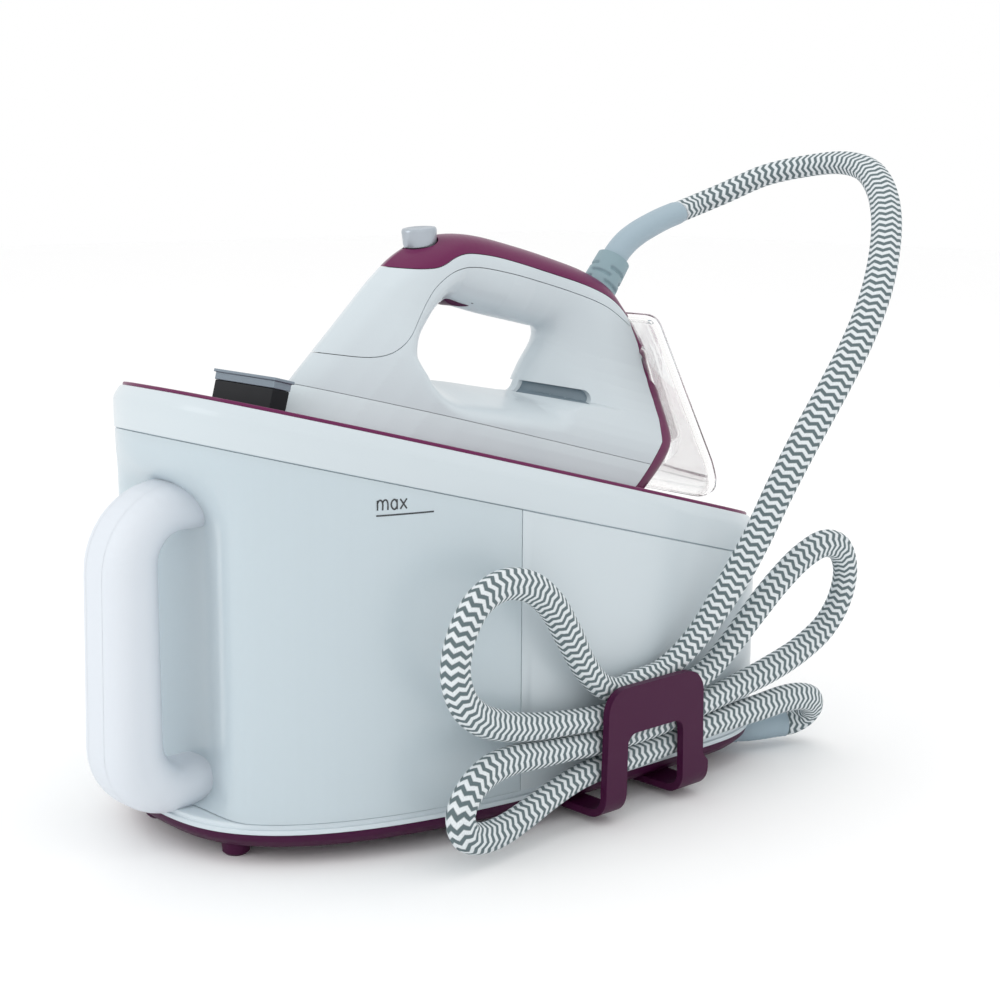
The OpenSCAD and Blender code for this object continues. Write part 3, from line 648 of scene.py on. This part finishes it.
def hose_mesh(name, line, rings, mat):
    verts, faces = loft(rings)
    n = len(rings[0])
    o = add(name, verts, faces, mat)
    me = o.data
    s = np.concatenate([[0], np.cumsum(np.linalg.norm(np.diff(line, axis=0), axis=1))])
    uv = me.uv_layers.new(name="along")
    lv = np.zeros(len(me.loops), int)
    me.loops.foreach_get("vertex_index", lv)
    u = s[lv // n]
    v = (lv % n) / n
    start = 0
    tot = np.zeros(len(me.polygons), int)
    me.polygons.foreach_get("loop_total", tot)
    out = np.stack([u, v], 1)
    for t in tot:
        seg = out[start:start + t, 1]
        if t == 4 and seg.max() - seg.min() > 0.5:
            seg[seg < 0.5] += 1
        start += t
    uv.data.foreach_set("uv", out.reshape(-1).astype(np.float32))
    me.uv_layers.active = uv
    return o


def keep_flat(p, u):
    """The oval lies flat against the base's wall, so its thin way is along X there."""
    w = np.clip((150 - p[2]) / 80, 0, 1) * 0.2
    return u * (1 - w) + np.array([1.0, 0, 0]) * w * (1 if u[0] >= 0 else -1)


route = curve(FREE_ROUTE + BUNDLE_ROUTE[1:], 14)
steps = int(np.linalg.norm(np.diff(route, axis=0), axis=1).sum() / 1.6)
route = even(route, steps)
near_clip = np.clip(2 - np.abs(route[:, 1] - 26) / 55, 0, 1) * np.clip((105 - route[:, 2]) / 25, 0, 1)
wide = 16.4 + 1.2 * np.clip((route[:, 2] - 140) / 60, 0, 1) - 2.9 * near_clip
thin = np.full(len(route), 13.0)
rings = sweep(route, wide, thin, 28, keep_flat, (0, 0, 1))
hose = hose_mesh("steam_hose", route, rings, BRAID)
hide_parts("hose_free", "hose_bundle")

sleeve_line = even(curve(SLEEVE_ROUTE, 12), 60)
k = np.linspace(0, 1, 60)
sleeve_w = 15.6 + 2.6 * k
sleeve_t = 15.6 - 1.6 * k
sleeve_w[-2:] -= 0.8
sleeve_t[-2:] -= 0.8
add("iron_sleeve", *loft(sweep(sleeve_line, sleeve_w, sleeve_t, 32, None, (0, 0, 1))), SLEEVE,
    "iron", replaces=("hose_iron_sleeve",), angle=50)
tail_line = even(curve(TAIL_ROUTE, 10), 24)
rib = 0.35 * np.sin(np.linspace(0, 9 * math.pi, 24)) ** 2
add("base_sleeve", *loft(sweep(tail_line, 16.6 - rib, 15 - rib, 32, keep_flat, (1, 0, 0))), SLEEVE,
    "base", replaces=("hose_base_sleeve",), angle=50)
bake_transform(hose)

# ---- water tank --------------------------------------------------------------------
TANK_BACK = -47.3
TANK_FLOOR = 22.5
TANK_WALL = 2.5
TANK_UNDER_RIM = 23.1
SCOOP_Y, SCOOP_R, SCOOP_TOP, SCOOP_FLOOR = -235, 61, 188, 24
TANK_OUTLINE = outline(0.4, 40)


def scoop(p):
    """Signed distance-like value of the finger hollow, negative in it."""
    r = np.hypot(p[:, 0], (p[:, 1] - SCOOP_Y))
    z = p[:, 2]
    return smax(smax(r - SCOOP_R, z - SCOOP_TOP, 26), SCOOP_FLOOR - z, 12)


def tank_f(p):
    d = poly_dist(TANK_OUTLINE, p[:, 0], p[:, 1])
    return smax(d, -scoop(p), 20)


def boxed(f, lo, hi):
    """f kept inside a box, so that its surface closes."""
    lo, hi = np.asarray(lo, float), np.asarray(hi, float)

    def g(p):
        return np.maximum(f(p), np.maximum(lo - p, p - hi).max(1))
    return g


TANK_BOX = ((-130, -215, 14), (130, -42, 222))
tank_v, tank_q = nets(boxed(tank_f, *TANK_BOX), (-122, -204, 10), (122, -36, 228), 3.0)
tank_solid = raw("tank_solid", tank_v, tank_q)


def slant_prism(d_top, y0, y1, z0, name):
    """Everything between y0 and y1, above z0 and under the rim's plane lowered by d_top."""
    v = []
    for y in (y0, y1):
        zt = RIM - SLOPE * y - d_top / TC
        v += [(-150, y, z0), (150, y, z0), (150, y, zt), (-150, y, zt)]
    f = [(0, 1, 2, 3), (7, 6, 5, 4), (0, 4, 5, 1), (1, 5, 6, 2), (2, 6, 7, 3), (3, 7, 4, 0)]
    return raw(name, v, f)


bounds_prism = slant_prism(TANK_UNDER_RIM, -230, TANK_BACK, TANK_FLOOR, "p")
cut(tank_solid, bounds_prism, "INTERSECT")
inner_v, inner_q = nets(boxed(lambda p: tank_f(p) + TANK_WALL, *TANK_BOX),
                        (-122, -204, 10), (122, -36, 228), 3.0)
inner_solid = raw("tank_inner", inner_v, inner_q)
inner_prism = slant_prism(25.6, -230, TANK_BACK - TANK_WALL, TANK_FLOOR + TANK_WALL, "p")
cut(inner_solid, inner_prism, "INTERSECT")
cut(tank_solid, inner_solid, "DIFFERENCE")
drop(inner_solid, bounds_prism, inner_prism)
settle(tank_solid, TANK, "tank", ("tank_shell",), f=tank_f, angle=30)

# ---- tank handle -------------------------------------------------------------------
GRIP_OUT = [(-160, 190.5), (-176, 190.5)] + arc(-187, 145.5, 45, 90, 180, 12) + \
    arc(-197, 56, 37, 180, 270, 10) + [(-180, 19), (-160, 19)]
GRIP_IN = [(-120, 165), (-160, 165)] + arc(-186, 150, 15, 90, 180, 8) + \
    arc(-186, 58, 15, 180, 270, 8) + [(-160, 43), (-120, 43)]


def grip_f(p):
    d_out = poly_dist(GRIP_OUT + [(-110, 19), (-110, 190.5)], p[:, 1], p[:, 2])
    d_in = -poly_dist(GRIP_IN, p[:, 1], p[:, 2])
    d = smax(d_out, d_in, 6) + p[:, 0] ** 2 / 260
    return smax(np.abs(p[:, 0]) - 18.6, d, 13)


grip_v, grip_q = nets(boxed(grip_f, (-22, -236, 14), (22, -153, 194)), (-24, -238, 12), (24, -150, 196), 2.0)
grip_solid = raw("grip_solid", grip_v, grip_q)
front_v, front_q = nets(boxed(lambda p: -tank_f(p) - 0.8, (-90, -290, 8), (90, -130, 230)),
                        (-60, -300, 2), (60, -156, 212), 3.0)
front_block = raw("front", front_v, front_q)
cut(grip_solid, front_block, "INTERSECT")
# the front of the grip is a strip let into it, between two fine parting lines
split = [(-150, 210), (-182, 210)] + arc(-187, 145.5, 39, 100, 180, 9) + \
    arc(-197, 56, 31, 180, 260, 9) + [(-182, 0), (-150, 0)]
split_a = side_prism(split, 60)
strip = block((-7.4, -260, 0), (7.4, -150, 220))
cover = copy(grip_solid, "tank_grip_cover_piece")
cut(cover, split_a, "DIFFERENCE")
cut(cover, strip, "INTERSECT")
split_b = side_prism([(y + 0.4, z) for y, z in split], 60)
strip_b = block((-7.65, -262, 0), (7.65, -150, 220))
cut(strip_b, split_b, "DIFFERENCE")
cut(grip_solid, strip_b, "DIFFERENCE")
drop(split_a, split_b, front_block, strip, strip_b)
settle(grip_solid, GRIP, "tank", ("tank_grip",), f=grip_f)
settle(cover, GRIP, "tank", ("tank_grip_cover",), f=grip_f)

# ---- base ----------------------------------------------------------------------------
plate = slab_rings([(9, 8.0), (7.2, 8.2), (6.4, 8.8), (3.2, 11.6), (2.0, 13.0), (1.6, 14.2),
                    (1.5, 16.2), (2.2, 16.4)])
add("base_plate_piece", *loft(plate), PLUM_DARK, "base", replaces=("base_plate",), angle=40)
band = slab_rings([(2.2, 16.5), (0.9, 16.6), (0.6, 16.9), (0.6, 18.9), (0.9, 19.2), (1.7, 19.3),
                   (1.8, 19.5), (1.8, 21.6), (2.2, 21.9), (3.2, 22.0)])
add("base_floor_piece", *loft(band), WARM, "base", replaces=("base_floor",), angle=40)

# rear housing: the outline behind the joint, closed across the front
near = outline(0.3, 64)[:128]
front_y = TANK_BACK + 0.5
front_x = float(np.interp(front_y, near[:60, 1], near[:60, 0]))
near = np.concatenate([[(front_x, front_y)], near[near[:, 1] > front_y + 0.5]])
far = near[::-1] * [-1, 1]
loop = np.concatenate([near, far[far[:, 0] < -0.01]])


def housing_ring(d, h, tilted):
    q = loop.copy()
    t = np.roll(q, -1, 0) - np.roll(q, 1, 0)
    n = np.stack([t[:, 1], -t[:, 0]], 1)
    n /= np.linalg.norm(n, axis=1)[:, None]
    q = q - n * d
    z = (RIM - SLOPE * q[:, 1] + h / TC) if tilted else np.full(len(q), float(h))
    return np.column_stack([q, z])


house = [housing_ring(0.4, 22.2, False), housing_ring(0, 22.6, False),
         housing_ring(0, -23.6, True), housing_ring(0.4, -23.1, True)]
house_o = raw("rear_housing_piece", *loft(house))
bore = raw("bore", *loft([np.column_stack([9 * np.cos(a), np.full(48, y), 36 + 9 * np.sin(a)])
                          for a in [np.linspace(0, 2 * math.pi, 48, endpoint=False)]
                          for y in (-60, -20)][::-1]))
cut(house_o, bore, "DIFFERENCE")
drop(bore)
for s in range(-3, 4):
    b = block((40 + s * 7, 160, 60), (43 + s * 7, 200, 82))
    cut(house_o, b, "DIFFERENCE")
    drop(b)
settle(house_o, WHITE, "base", ("rear_housing",), angle=30)

collar = slab_rings([(6, -22.6), (0.6, -22.6), (0.1, -22.4), (0, -22.0), (0, -8.5), (0.25, -7.0),
                     (1.0, -5.2), (2.1, -3.3), (3.1, -1.6), (3.7, -0.9), (4.3, -0.6), (4.7, -0.7),
                     (4.7, -6.0)], tilted=True)
add("collar_piece", *loft(collar, False, False), WHITE, "base", replaces=("collar",), angle=50)
# grey sheets in the joints above and behind the tank: painted shade in those gaps
joint_shade_ring = slab_rings([(1.0, -22.95), (1.0, -22.5)], tilted=True)
add("collar_seal", *loft(joint_shade_ring), JOINT_SHADE, "base", angle=30)
joint_shade_w = float(np.interp(TANK_BACK, near[:, 1], near[:, 0])) - 1.0
joint_shade_sheet = block((-joint_shade_w, TANK_BACK + 0.12, 24), (joint_shade_w, TANK_BACK + 0.6, RIM - SLOPE * TANK_BACK - 24))
settle(joint_shade_sheet, JOINT_SHADE, "base")
lip = slab_rings([(4.9, -8), (4.9, 0.3), (5.1, 0.9), (5.6, 1.2), (7.6, 1.2), (8.2, 0.9), (8.5, 0.2),
                  (8.6, -7.5), (9.2, -9.3), (11.0, -10.0)], tilted=True)
add("tray_piece", *loft(lip, False, True), PLUM, "base", replaces=("tray",), angle=50)

# ---- iron ----------------------------------------------------------------------------
IRON_SIDE = curve([(-137, -4.5), (-131, 1.5), (-114, 28.5), (-94, 60.5), (-75.5, 90.8), (-69.5, 98.8),
                   (-62, 105.5), (-51, 112.8), (-38, 118.5), (-20, 122.6), (11, 124.4), (42, 124.6),
                   (72, 123.4), (92, 119), (109, 107.8), (128.5, 88), (139.5, 66.5), (143, 50.5),
                   (143, 42), (142, 36), (138.5, 29), (130, 18), (116, 1), (112, -4.5)], 4)
HOLE = curve([(-33, 80.4), (-40, 75), (-46, 65), (-50.5, 54), (-49.5, 45.5), (-44, 40),
              (-36, 38), (-10, 40), (16, 42), (30, 43.4), (36.5, 45), (39.8, 54), (43, 64),
              (48.8, 79), (47, 82.4), (38, 82.4), (0, 80.8), (-20, 80.6)], 5, closed=True)
WZ = np.array([-6, 0, 6, 12, 18, 24, 30, 36, 42, 48, 54, 60, 66, 74, 84, 96, 108, 126.0])
WX = np.array([57, 57, 56, 54.6, 52.6, 50, 47, 43.4, 39.4, 35.2, 31.4, 28, 25.4, 23, 21.6, 20.4, 19, 17.6])
PY = np.array([-140, -136, -130, -120, -110, -100, -85, -70, -50, -30, -10, 20, 80, 104, 120, 140.0])
PX = np.array([0, 3, 8, 15.5, 23, 29.5, 37, 43.5, 49.5, 53.5, 55.8, 57.2, 57.2, 55.5, 52, 44])


def iron_f(p):
    x, y, z = np.abs(p[:, 0]), p[:, 1], p[:, 2]
    side = poly_dist(IRON_SIDE, y, z)
    wz = np.interp(z, WZ, WX)
    lean = np.clip(z, 0, 130) * 0.61
    wp = np.interp(y - lean, PY, PX)
    # the plan is taken back towards full width as the body narrows upwards
    a = (x - wz) * 0.9
    b = (x - wp) * 0.8
    f = smax(a, b, 9)
    f = smax(f, side, 9 + 7 * np.clip((z - 80) / 30, 0, 1))
    hole = poly_dist(HOLE, y, z)
    # the flanks are drawn in towards the hole: gently behind and above it, quickly below
    pull = 0.75 + 0.35 * np.clip((26 - y) / 20, 0, 1)
    pull = pull + (2.2 - pull) * np.clip((-30 - y) / 15, 0, 1)
    pull = pull + (3.0 - pull) * np.clip((46 - z) / 8, 0, 1)
    f = smax(f, (x - 6 - pull * np.maximum(hole, 0)) * 0.6, 10)
    return smax(f, -hole, 8)


iron_v, iron_q = nets(iron_f, (-62, -142, -8), (62, 158, 128), 1.8)
iron_solid = raw("iron_solid", iron_v, iron_q)
CAP_LINE = [(-92, 90), (-78, 91), (-65, 93), (-57, 95), (-51, 97.2), (-46, 100.5), (-42, 104),
            (-36, 107.8), (-30, 110), (-15, 112.4), (0, 113.4), (30, 113.8), (64, 113.6), (84, 111.5),
            (97, 107.5), (108, 101.2)]
cap_curve = curve(CAP_LINE, 4)
CAP = [tuple(q) for q in cap_curve] + [(113, 140), (-92, 140)]
NOSE_LINE = curve([(-140, 34.6), (-123, 35.5), (-105, 37.5), (-88, 40), (-79, 43.8), (-72, 50),
                   (-66, 58), (-60, 70), (-53, 84), (-47, 91.5), (-40, 97.5), (-32, 101.5), (-22, 104),
                   (-8, 105.6), (20, 107), (60, 107), (86, 104.5), (106, 98)], 4)
NOSE = [tuple(q) for q in NOSE_LINE] + [tuple(q) for q in cap_curve[::-1]] + [(-140, 100)]
REAR = [(106, 103), (108.6, 97), (115, 88.7), (125.5, 69.8), (129.5, 58), (130.6, 47), (127.5, 33),
        (118, 22), (112, 14.5), (100, -1), (95, -8), (176, -8), (176, 130), (110, 130)]


def grow(poly, d):
    p = np.asarray(poly, float)
    area = np.sum(p[:, 0] * np.roll(p[:, 1], -1) - np.roll(p[:, 0], -1) * p[:, 1])
    if area < 0:
        p = p[::-1]
    a = p - np.roll(p, 1, 0)
    b = np.roll(p, -1, 0) - p
    a /= np.maximum(np.linalg.norm(a, axis=1), 1e-9)[:, None]
    b /= np.maximum(np.linalg.norm(b, axis=1), 1e-9)[:, None]
    n = np.stack([a[:, 1] + b[:, 1], -a[:, 0] - b[:, 0]], 1)
    n /= np.maximum(np.linalg.norm(n, axis=1), 0.5)[:, None]
    return p + n * d


def region(o, poly, how, d, name):
    s = side_prism(grow(poly, d), 90)
    c = copy(o, name)
    cut(c, s, how)
    drop(s)
    return c


SEAM_GAP = 0.2
skirt_box = [(-160, -20), (200, -20), (200, 18), (-160, 18)]
cap_o = region(iron_solid, CAP, "INTERSECT", -SEAM_GAP, "handle_cap_piece")
nose_o = region(iron_solid, NOSE, "INTERSECT", -SEAM_GAP, "nose_panel_piece")
rear_o = region(iron_solid, REAR, "INTERSECT", -SEAM_GAP, "rear_cover_piece")
skirt_o = region(iron_solid, skirt_box, "INTERSECT", -SEAM_GAP, "iron_skirt_piece")
skirt_cut = side_prism(grow(REAR, SEAM_GAP), 90)
cut(skirt_o, skirt_cut, "DIFFERENCE")
drop(skirt_cut)
shell_o = iron_solid
for poly in (CAP, NOSE, REAR, skirt_box):
    s = side_prism(grow(poly, SEAM_GAP), 90)
    cut(shell_o, s, "DIFFERENCE")
    drop(s)


def on_cap(p):
    """The thumb button's frame, in the frame of the tray."""
    return leaning(p, -54, 110, math.radians(20))


def button(p):
    return tray_row(on_cap(p))


an = np.linspace(0, 2 * math.pi, 56, endpoint=False)


def pad(a, b, z):
    """A rounded three-cornered ring, wider towards the front, standing a little to the rear."""
    r = 1 + 0.05 * np.cos(3 * (an + math.pi / 2))
    return np.column_stack([a * r * np.cos(an), 1.6 + b * r * np.sin(an), np.full(56, float(z))])


# the recess on each flank, behind the hand hole, and its grey lining
SLOT_SIDE = [(30, 42.9)] + arc(70.6, 48.6, 4, -88, 88, 12) + [(38, 50.6), (30, 50.2)]
SLOT_BOX = ((-60, 26, 36), (60, 82, 58))


def slot_piece(depth, name):
    """The slot's prism less everything deeper than depth under the iron's surface."""
    piece = side_prism(SLOT_SIDE, 50, name)
    deep = raw("deep", *nets(boxed(lambda p: iron_f(p) + depth, *SLOT_BOX), (-64, 20, 32), (64, 88, 62), 1.8))
    middle = block((-2.6, 0, 30), (2.6, 100, 60))
    cut(piece, deep, "DIFFERENCE")
    cut(piece, middle, "DIFFERENCE")
    drop(deep, middle)
    return piece


slot_o = slot_piece(2.6, "slot")
cut(shell_o, slot_o, "DIFFERENCE")
drop(slot_o)
lining = slot_piece(2.9, "slot_lining_piece")
skin = raw("skin", *nets(boxed(lambda p: iron_f(p) + 2.3, *SLOT_BOX), (-64, 20, 32), (64, 88, 62), 1.8))
cut(lining, skin, "INTERSECT")
drop(skin)
core_v, core_q = nets(lambda p: iron_f(p) + 3.2, (-62, -142, -8), (62, 158, 128), 3.0)
core_o = raw("iron_core", core_v, core_q)
# the well that the thumb button sinks into
for piece in (cap_o, core_o):
    well = raw("well", *loft([on_cap(pad(9.8, 10.5, -7)), on_cap(pad(9.8, 10.5, 16))]))
    cut(piece, well, "DIFFERENCE")
    drop(well)
settle(core_o, SEAM, "iron", f=lambda p: iron_f(p) + 3.2, to_row=tray_row)
settle(lining, SLOT, "iron", ("slot_inserts",), to_row=tray_row)
settle(shell_o, WHITE, "iron", ("iron_shell",), to_row=tray_row, f=iron_f)
settle(cap_o, PLUM, "iron", ("handle_cap",), to_row=tray_row, f=iron_f)
settle(nose_o, WHITE, "iron", ("nose_panel",), to_row=tray_row, f=iron_f)
settle(rear_o, PLUM, "iron", ("rear_cover",), to_row=tray_row, f=iron_f)
settle(skirt_o, SKIRT, "iron", ("iron_skirt",), to_row=tray_row, f=iron_f)

# the steam trigger under the front of the grip
TRIGGER = curve([(-10.5, 85), (-9, 89), (-17, 92), (-31, 91.5), (-34.5, 88), (-33.5, 84), (-29, 81.6),
                 (-24, 81.1), (-18, 82), (-13, 83.4)], 4, closed=True)
trigger_o = side_prism(TRIGGER, 7.1, "steam_trigger_piece")
settle(trigger_o, PLUM_DARK, "trigger", ("steam_trigger",), to_row=tray_row, bevel=0.8, angle=30)

# ---- clear heel rest -------------------------------------------------------------------
# drawn flat: x across, y down the plate, z out of it; then turned about X as a whole and set in place
HEEL_LEAN = math.atan2(75.7, 60.5)


def heel(p):
    return tray_row(leaning(p, 111.5, 104.2, -HEEL_LEAN))


def rounded(corners, r, n=7):
    """Closed outline with each corner rounded by r."""
    c = [np.array(q, float) for q in corners]
    out = []
    m = len(c)
    for i in range(m):
        p, q, s = c[i - 1], c[i], c[(i + 1) % m]
        a, b = (p - q) / np.linalg.norm(p - q), (s - q) / np.linalg.norm(s - q)
        ang = math.acos(np.clip(a @ b, -1, 1))
        rr = r[i] if hasattr(r, "__len__") else r
        d = rr / math.tan(ang / 2)
        for t in np.linspace(0, 1, n):
            p0, p1, p2 = q + a * d, q, q + b * d
            out.append((1 - t) ** 2 * p0 + 2 * t * (1 - t) * p1 + t * t * p2)
    return np.array(out)


def tray_skin(outer, levels):
    """A shallow dish: rings of the outline moved in by d at height z, closed into a thin wall."""
    return loft([np.column_stack([grow(outer, -d), np.full(len(outer), z)]) for d, z in levels])


heel_outline = rounded([(-38, -4), (38, -4), (50.5, 96), (50, 122), (-50, 122), (-50.5, 96)],
                       [10, 10, 20, 19, 19, 20], 9)
heel_o = raw("heel_rest_piece", *tray_skin(heel_outline, [
    (0.8, -6.0), (0.1, -5.0), (0, -1.4), (0.4, -0.4), (1.4, 0), (4.0, -0.1), (4.6, -0.5), (5.2, -0.6),
    (5.2, -2.6), (3.0, -2.5), (2.4, -3.2), (2.2, -6.0)]))
settle(heel_o, CLEAR, "iron", ("heel_rest",), to_row=heel, angle=50)
cup_outline = rounded([(-24.5, 16), (24.5, 16), (24.5, 84), (15, 100), (-15, 100), (-24.5, 84)],
                      [10, 10, 7, 7, 7, 7], 7)
cup_o = raw("heel_cup_piece", *tray_skin(cup_outline, [
    (0.4, -2.8), (0, -3.4), (0, -9.0), (1.4, -9.0), (1.4, -2.8)]))
settle(cup_o, CLEAR, "iron", to_row=heel, angle=50)

# ---- lock, button, boot ------------------------------------------------------------------
lock_o = block((-26, -149, -9.7), (26, -142, 12.3), "lock_slider_piece")
nib = block((-26, -142.3, -3.3), (26, -138.5, 12.3), "nib")
cut(lock_o, nib, "UNION")
drop(nib)
settle(lock_o, BLACK, "lock", ("lock_slider",), to_row=tray_row, bevel=0.6)
lock_cap_o = block((-26.2, -149.3, 12.4), (26.2, -138.3, 16.3), "lock_cap_piece")
flange = block((-27.5, -150, 16.3), (27.5, -137.5, 17.9), "fl")
cut(lock_cap_o, flange, "UNION")
drop(flange)
settle(lock_cap_o, LOCK_CAP, "lock", ("lock_cap",), to_row=tray_row, bevel=0.5)

button_o = raw("thumb_button_piece", *loft([
    pad(8.2, 9.2, -2.5), pad(8.6, 9.8, 0), pad(9.0, 9.7, 2.6), pad(9.3, 10.0, 6.0), pad(9.1, 9.7, 7.2),
    pad(8.6, 9.1, 7.8), pad(7.6, 8.0, 7.9), pad(6.2, 6.6, 7.4), pad(3, 3.4, 6.9)]))
settle(button_o, SILVER, "thumb_key", ("thumb_button",), to_row=button, angle=50)


def boot(p):
    return tray_row(leaning(p, 91, 113, -math.radians(23)))


boot_rings = []
ba = np.linspace(0, 2 * math.pi, 96, endpoint=False)
for z in np.concatenate([[0], np.arange(0.5, 26.1, 0.5)]):
    r = 11.4 - 0.9 * np.clip(z / 26, 0, 1) - (0.9 if z == 0 else 0)
    depth = np.zeros(96)
    for i, zz in enumerate((6.5, 11.5, 16.5)):
        m = np.clip(1.6 - abs(z - zz) * 1.3, 0, 1)
        ph = ba * 3 + i * math.pi
        g = np.clip((np.cos(ph) + 0.45) * 5, 0, 1)
        depth = np.maximum(depth, m * g * 1.5)
    rr = r - depth
    boot_rings.append(np.column_stack([rr * np.cos(ba), rr * np.sin(ba), np.full(96, z)]))
boot_rings.append(np.column_stack([9.6 * np.cos(ba), 9.6 * np.sin(ba), np.full(96, 26.4)]))
boot_o = raw("hose_boot_piece", *loft(boot_rings))
settle(boot_o, BOOT, "iron", ("hose_boot",), to_row=boot, angle=60)

# ---- hose clip -----------------------------------------------------------------------------
CLIP_FRONT = [(-12, 0), (-10.4, 55)] + arc(3.4, 61, 13.8, 172, 90, 10) + arc(51.4, 61, 13.8, 90, 8, 10) + \
    [(65.2, 55), (66, 25), (70.4, 20), (70.4, 0)]
CLIP_SIDE = [(80, 4), (128, 4)] + arc(128, 16, 12, -80, -2, 8) + [(140, 80), (135.6, 80), (135.6, 16)] + \
    arc(128, 16, 7.8, 0, -80, 6) + [(126, 7.9), (80, 7.9)]
WINDOW = [(4, -5), (4.8, 40)] + arc(11, 42.4, 6.2, 180, 90, 6) + arc(42.4, 42.4, 6.2, 90, 0, 6) + \
    [(48.8, 40), (49.6, -5)]
a = np.array(CLIP_SIDE, float)
clip_o = raw("hose_clip_piece", *loft([np.column_stack([a[:, 0], np.full(len(a), y), a[:, 1]])
                                       for y in (95.0, -40.0)]))
b = np.array(CLIP_FRONT, float)
front_o = side_prism(b, 200)
cut(clip_o, front_o, "INTERSECT")
w_o = side_prism(np.array(WINDOW, float), 200)
cut(clip_o, w_o, "DIFFERENCE")
drop(front_o, w_o)
settle(clip_o, PLUM_DARK, "base", ("hose_clip",), bevel=0.9, angle=30)

# ---- fill mark -----------------------------------------------------------------------------
# three letters and a line on the tank's near side, laid along the outline
near_side = outline(0.3, 200)[:400]
side_run = np.concatenate([[0], np.cumsum(np.linalg.norm(np.diff(near_side, axis=0), axis=1))])


def on_side(u, v):
    """Millimetres along the tank's side from the mark's start, and up, to a place on the side."""
    s = MARK_RUN + np.asarray(u, float)
    out = np.stack([np.interp(s, side_run, near_side[:, k]) for k in (0, 1)], -1)
    return np.column_stack([out, MARK_Z + np.asarray(v, float)])


def stroke(line, wide, name):
    """A thin printed stroke along a line of (along, up)."""
    q = even(curve(line, 8), 4 * len(line)) if len(line) > 2 else even(line, 12)
    q = q * [0.7, 0.84]
    t = np.gradient(q, axis=0)
    t /= np.linalg.norm(t, axis=1)[:, None]
    n = np.stack([-t[:, 1], t[:, 0]], 1) * wide / 2
    a, b = on_side(*(q + n).T), on_side(*(q - n).T)
    m = len(q)
    faces = [(i, m + i, m + i + 1, i + 1) for i in range(m - 1)]
    return add(name, np.concatenate([a, b]), faces, MARK, "tank")


MARK_Z, MARK_RUN = 180.2, float(np.interp(-127.5, near_side[:, 1], side_run))
STROKES = [[(0, 0), (0, 6)], [(0, 4), (1.2, 5.8), (2.8, 5.8), (3.8, 4.2), (3.8, 0)],
           [(3.8, 4.2), (5, 5.8), (6.6, 5.8), (7.6, 4.2), (7.6, 0)],
           [(14.6, 0), (14.6, 6)],
           [(14.6, 4), (12.8, 6), (10.8, 4.8), (10.2, 3), (10.8, 1.2), (12.8, 0), (14.6, 2)],
           [(17, 0), (22, 6)], [(17, 6), (22, 0)], [(-1, -3.2), (43, -3.2)]]
for i, line in enumerate(STROKES):
    stroke(line, 0.8, "max_mark_%d" % i)

# ---- materials of the CAD nodes that still show ----------------------------------------------
CAD = {"feet": PLUM_DARK, "rest_pads": RUBBER, "control_panel": PLUM_DARK, "power_button": SILVER,
       "mode_button": SILVER, "indicator_lenses": LENS, "boiler": STEEL, "boiler_heater": STEEL,
       "boiler_thermostat": BLACK, "pump": BLACK, "steam_valve": BRASS, "steam_pipe": STEEL,
       "water_pipe": TUBING, "control_board": BOARD, "water_socket": WHITE, "mains_gland": RUBBER,
       "hose_outlet": SLEEVE, "descale_cap": WHITE, "base_screws": STEEL, "tank_valve": TUBING,
       "tank_valve_seal": RUBBER, "filler_flap": TANK, "soleplate": SOLE, "steam_chamber": CAST,
       "trigger_switch": BLACK, "handle_pipe": TUBING}
for name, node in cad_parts.items():
    node.data.materials.clear()
    node.data.materials.append(CAD.get(name, WHITE))

# ---- studio -----------------------------------------------------------------------------------
PAPER = material("paper", (0.99, 0.99, 0.99), 0.9, scale=20)
floor = raw("floor", [(-6000, -6000, 0), (6000, -6000, 0), (6000, 6000, 0), (-6000, 6000, 0)], [(0, 1, 2, 3)])
floor.data.materials.append(PAPER)
floor.data.transform(Matrix.Scale(0.001, 4))


def lamp(name, place, aim, size, power, color=(1, 1, 1)):
    d = bpy.data.lights.new(name, "AREA")
    d.shape = "RECTANGLE"
    d.size, d.size_y = size
    d.energy = power
    d.color = color
    o = bpy.data.objects.new(name, d)
    bpy.context.scene.collection.objects.link(o)
    v = Vector(place)
    o.location = v
    o.rotation_euler = (v - Vector(aim)).to_track_quat("Z", "Y").to_euler()
    return o


lamp("key", (-0.5, -2.3, 1.2), (0, 0, 0.12), (1.5, 1.3), 9)
lamp("fill", (2.2, -0.9, 1.2), (0, 0, 0.15), (1.6, 1.6), 1.5)
lamp("top", (0.2, 0.3, 2.4), (0, 0, 0.1), (2.0, 2.0), 5)
world = bpy.data.worlds.new("studio")
bpy.context.scene.world = world
world.use_nodes = True
world.node_tree.nodes["Background"].inputs["Color"].default_value = (1, 1, 1, 1)
world.node_tree.nodes["Background"].inputs["Strength"].default_value = 1.0
bpy.context.scene.view_settings.view_transform = "Standard"
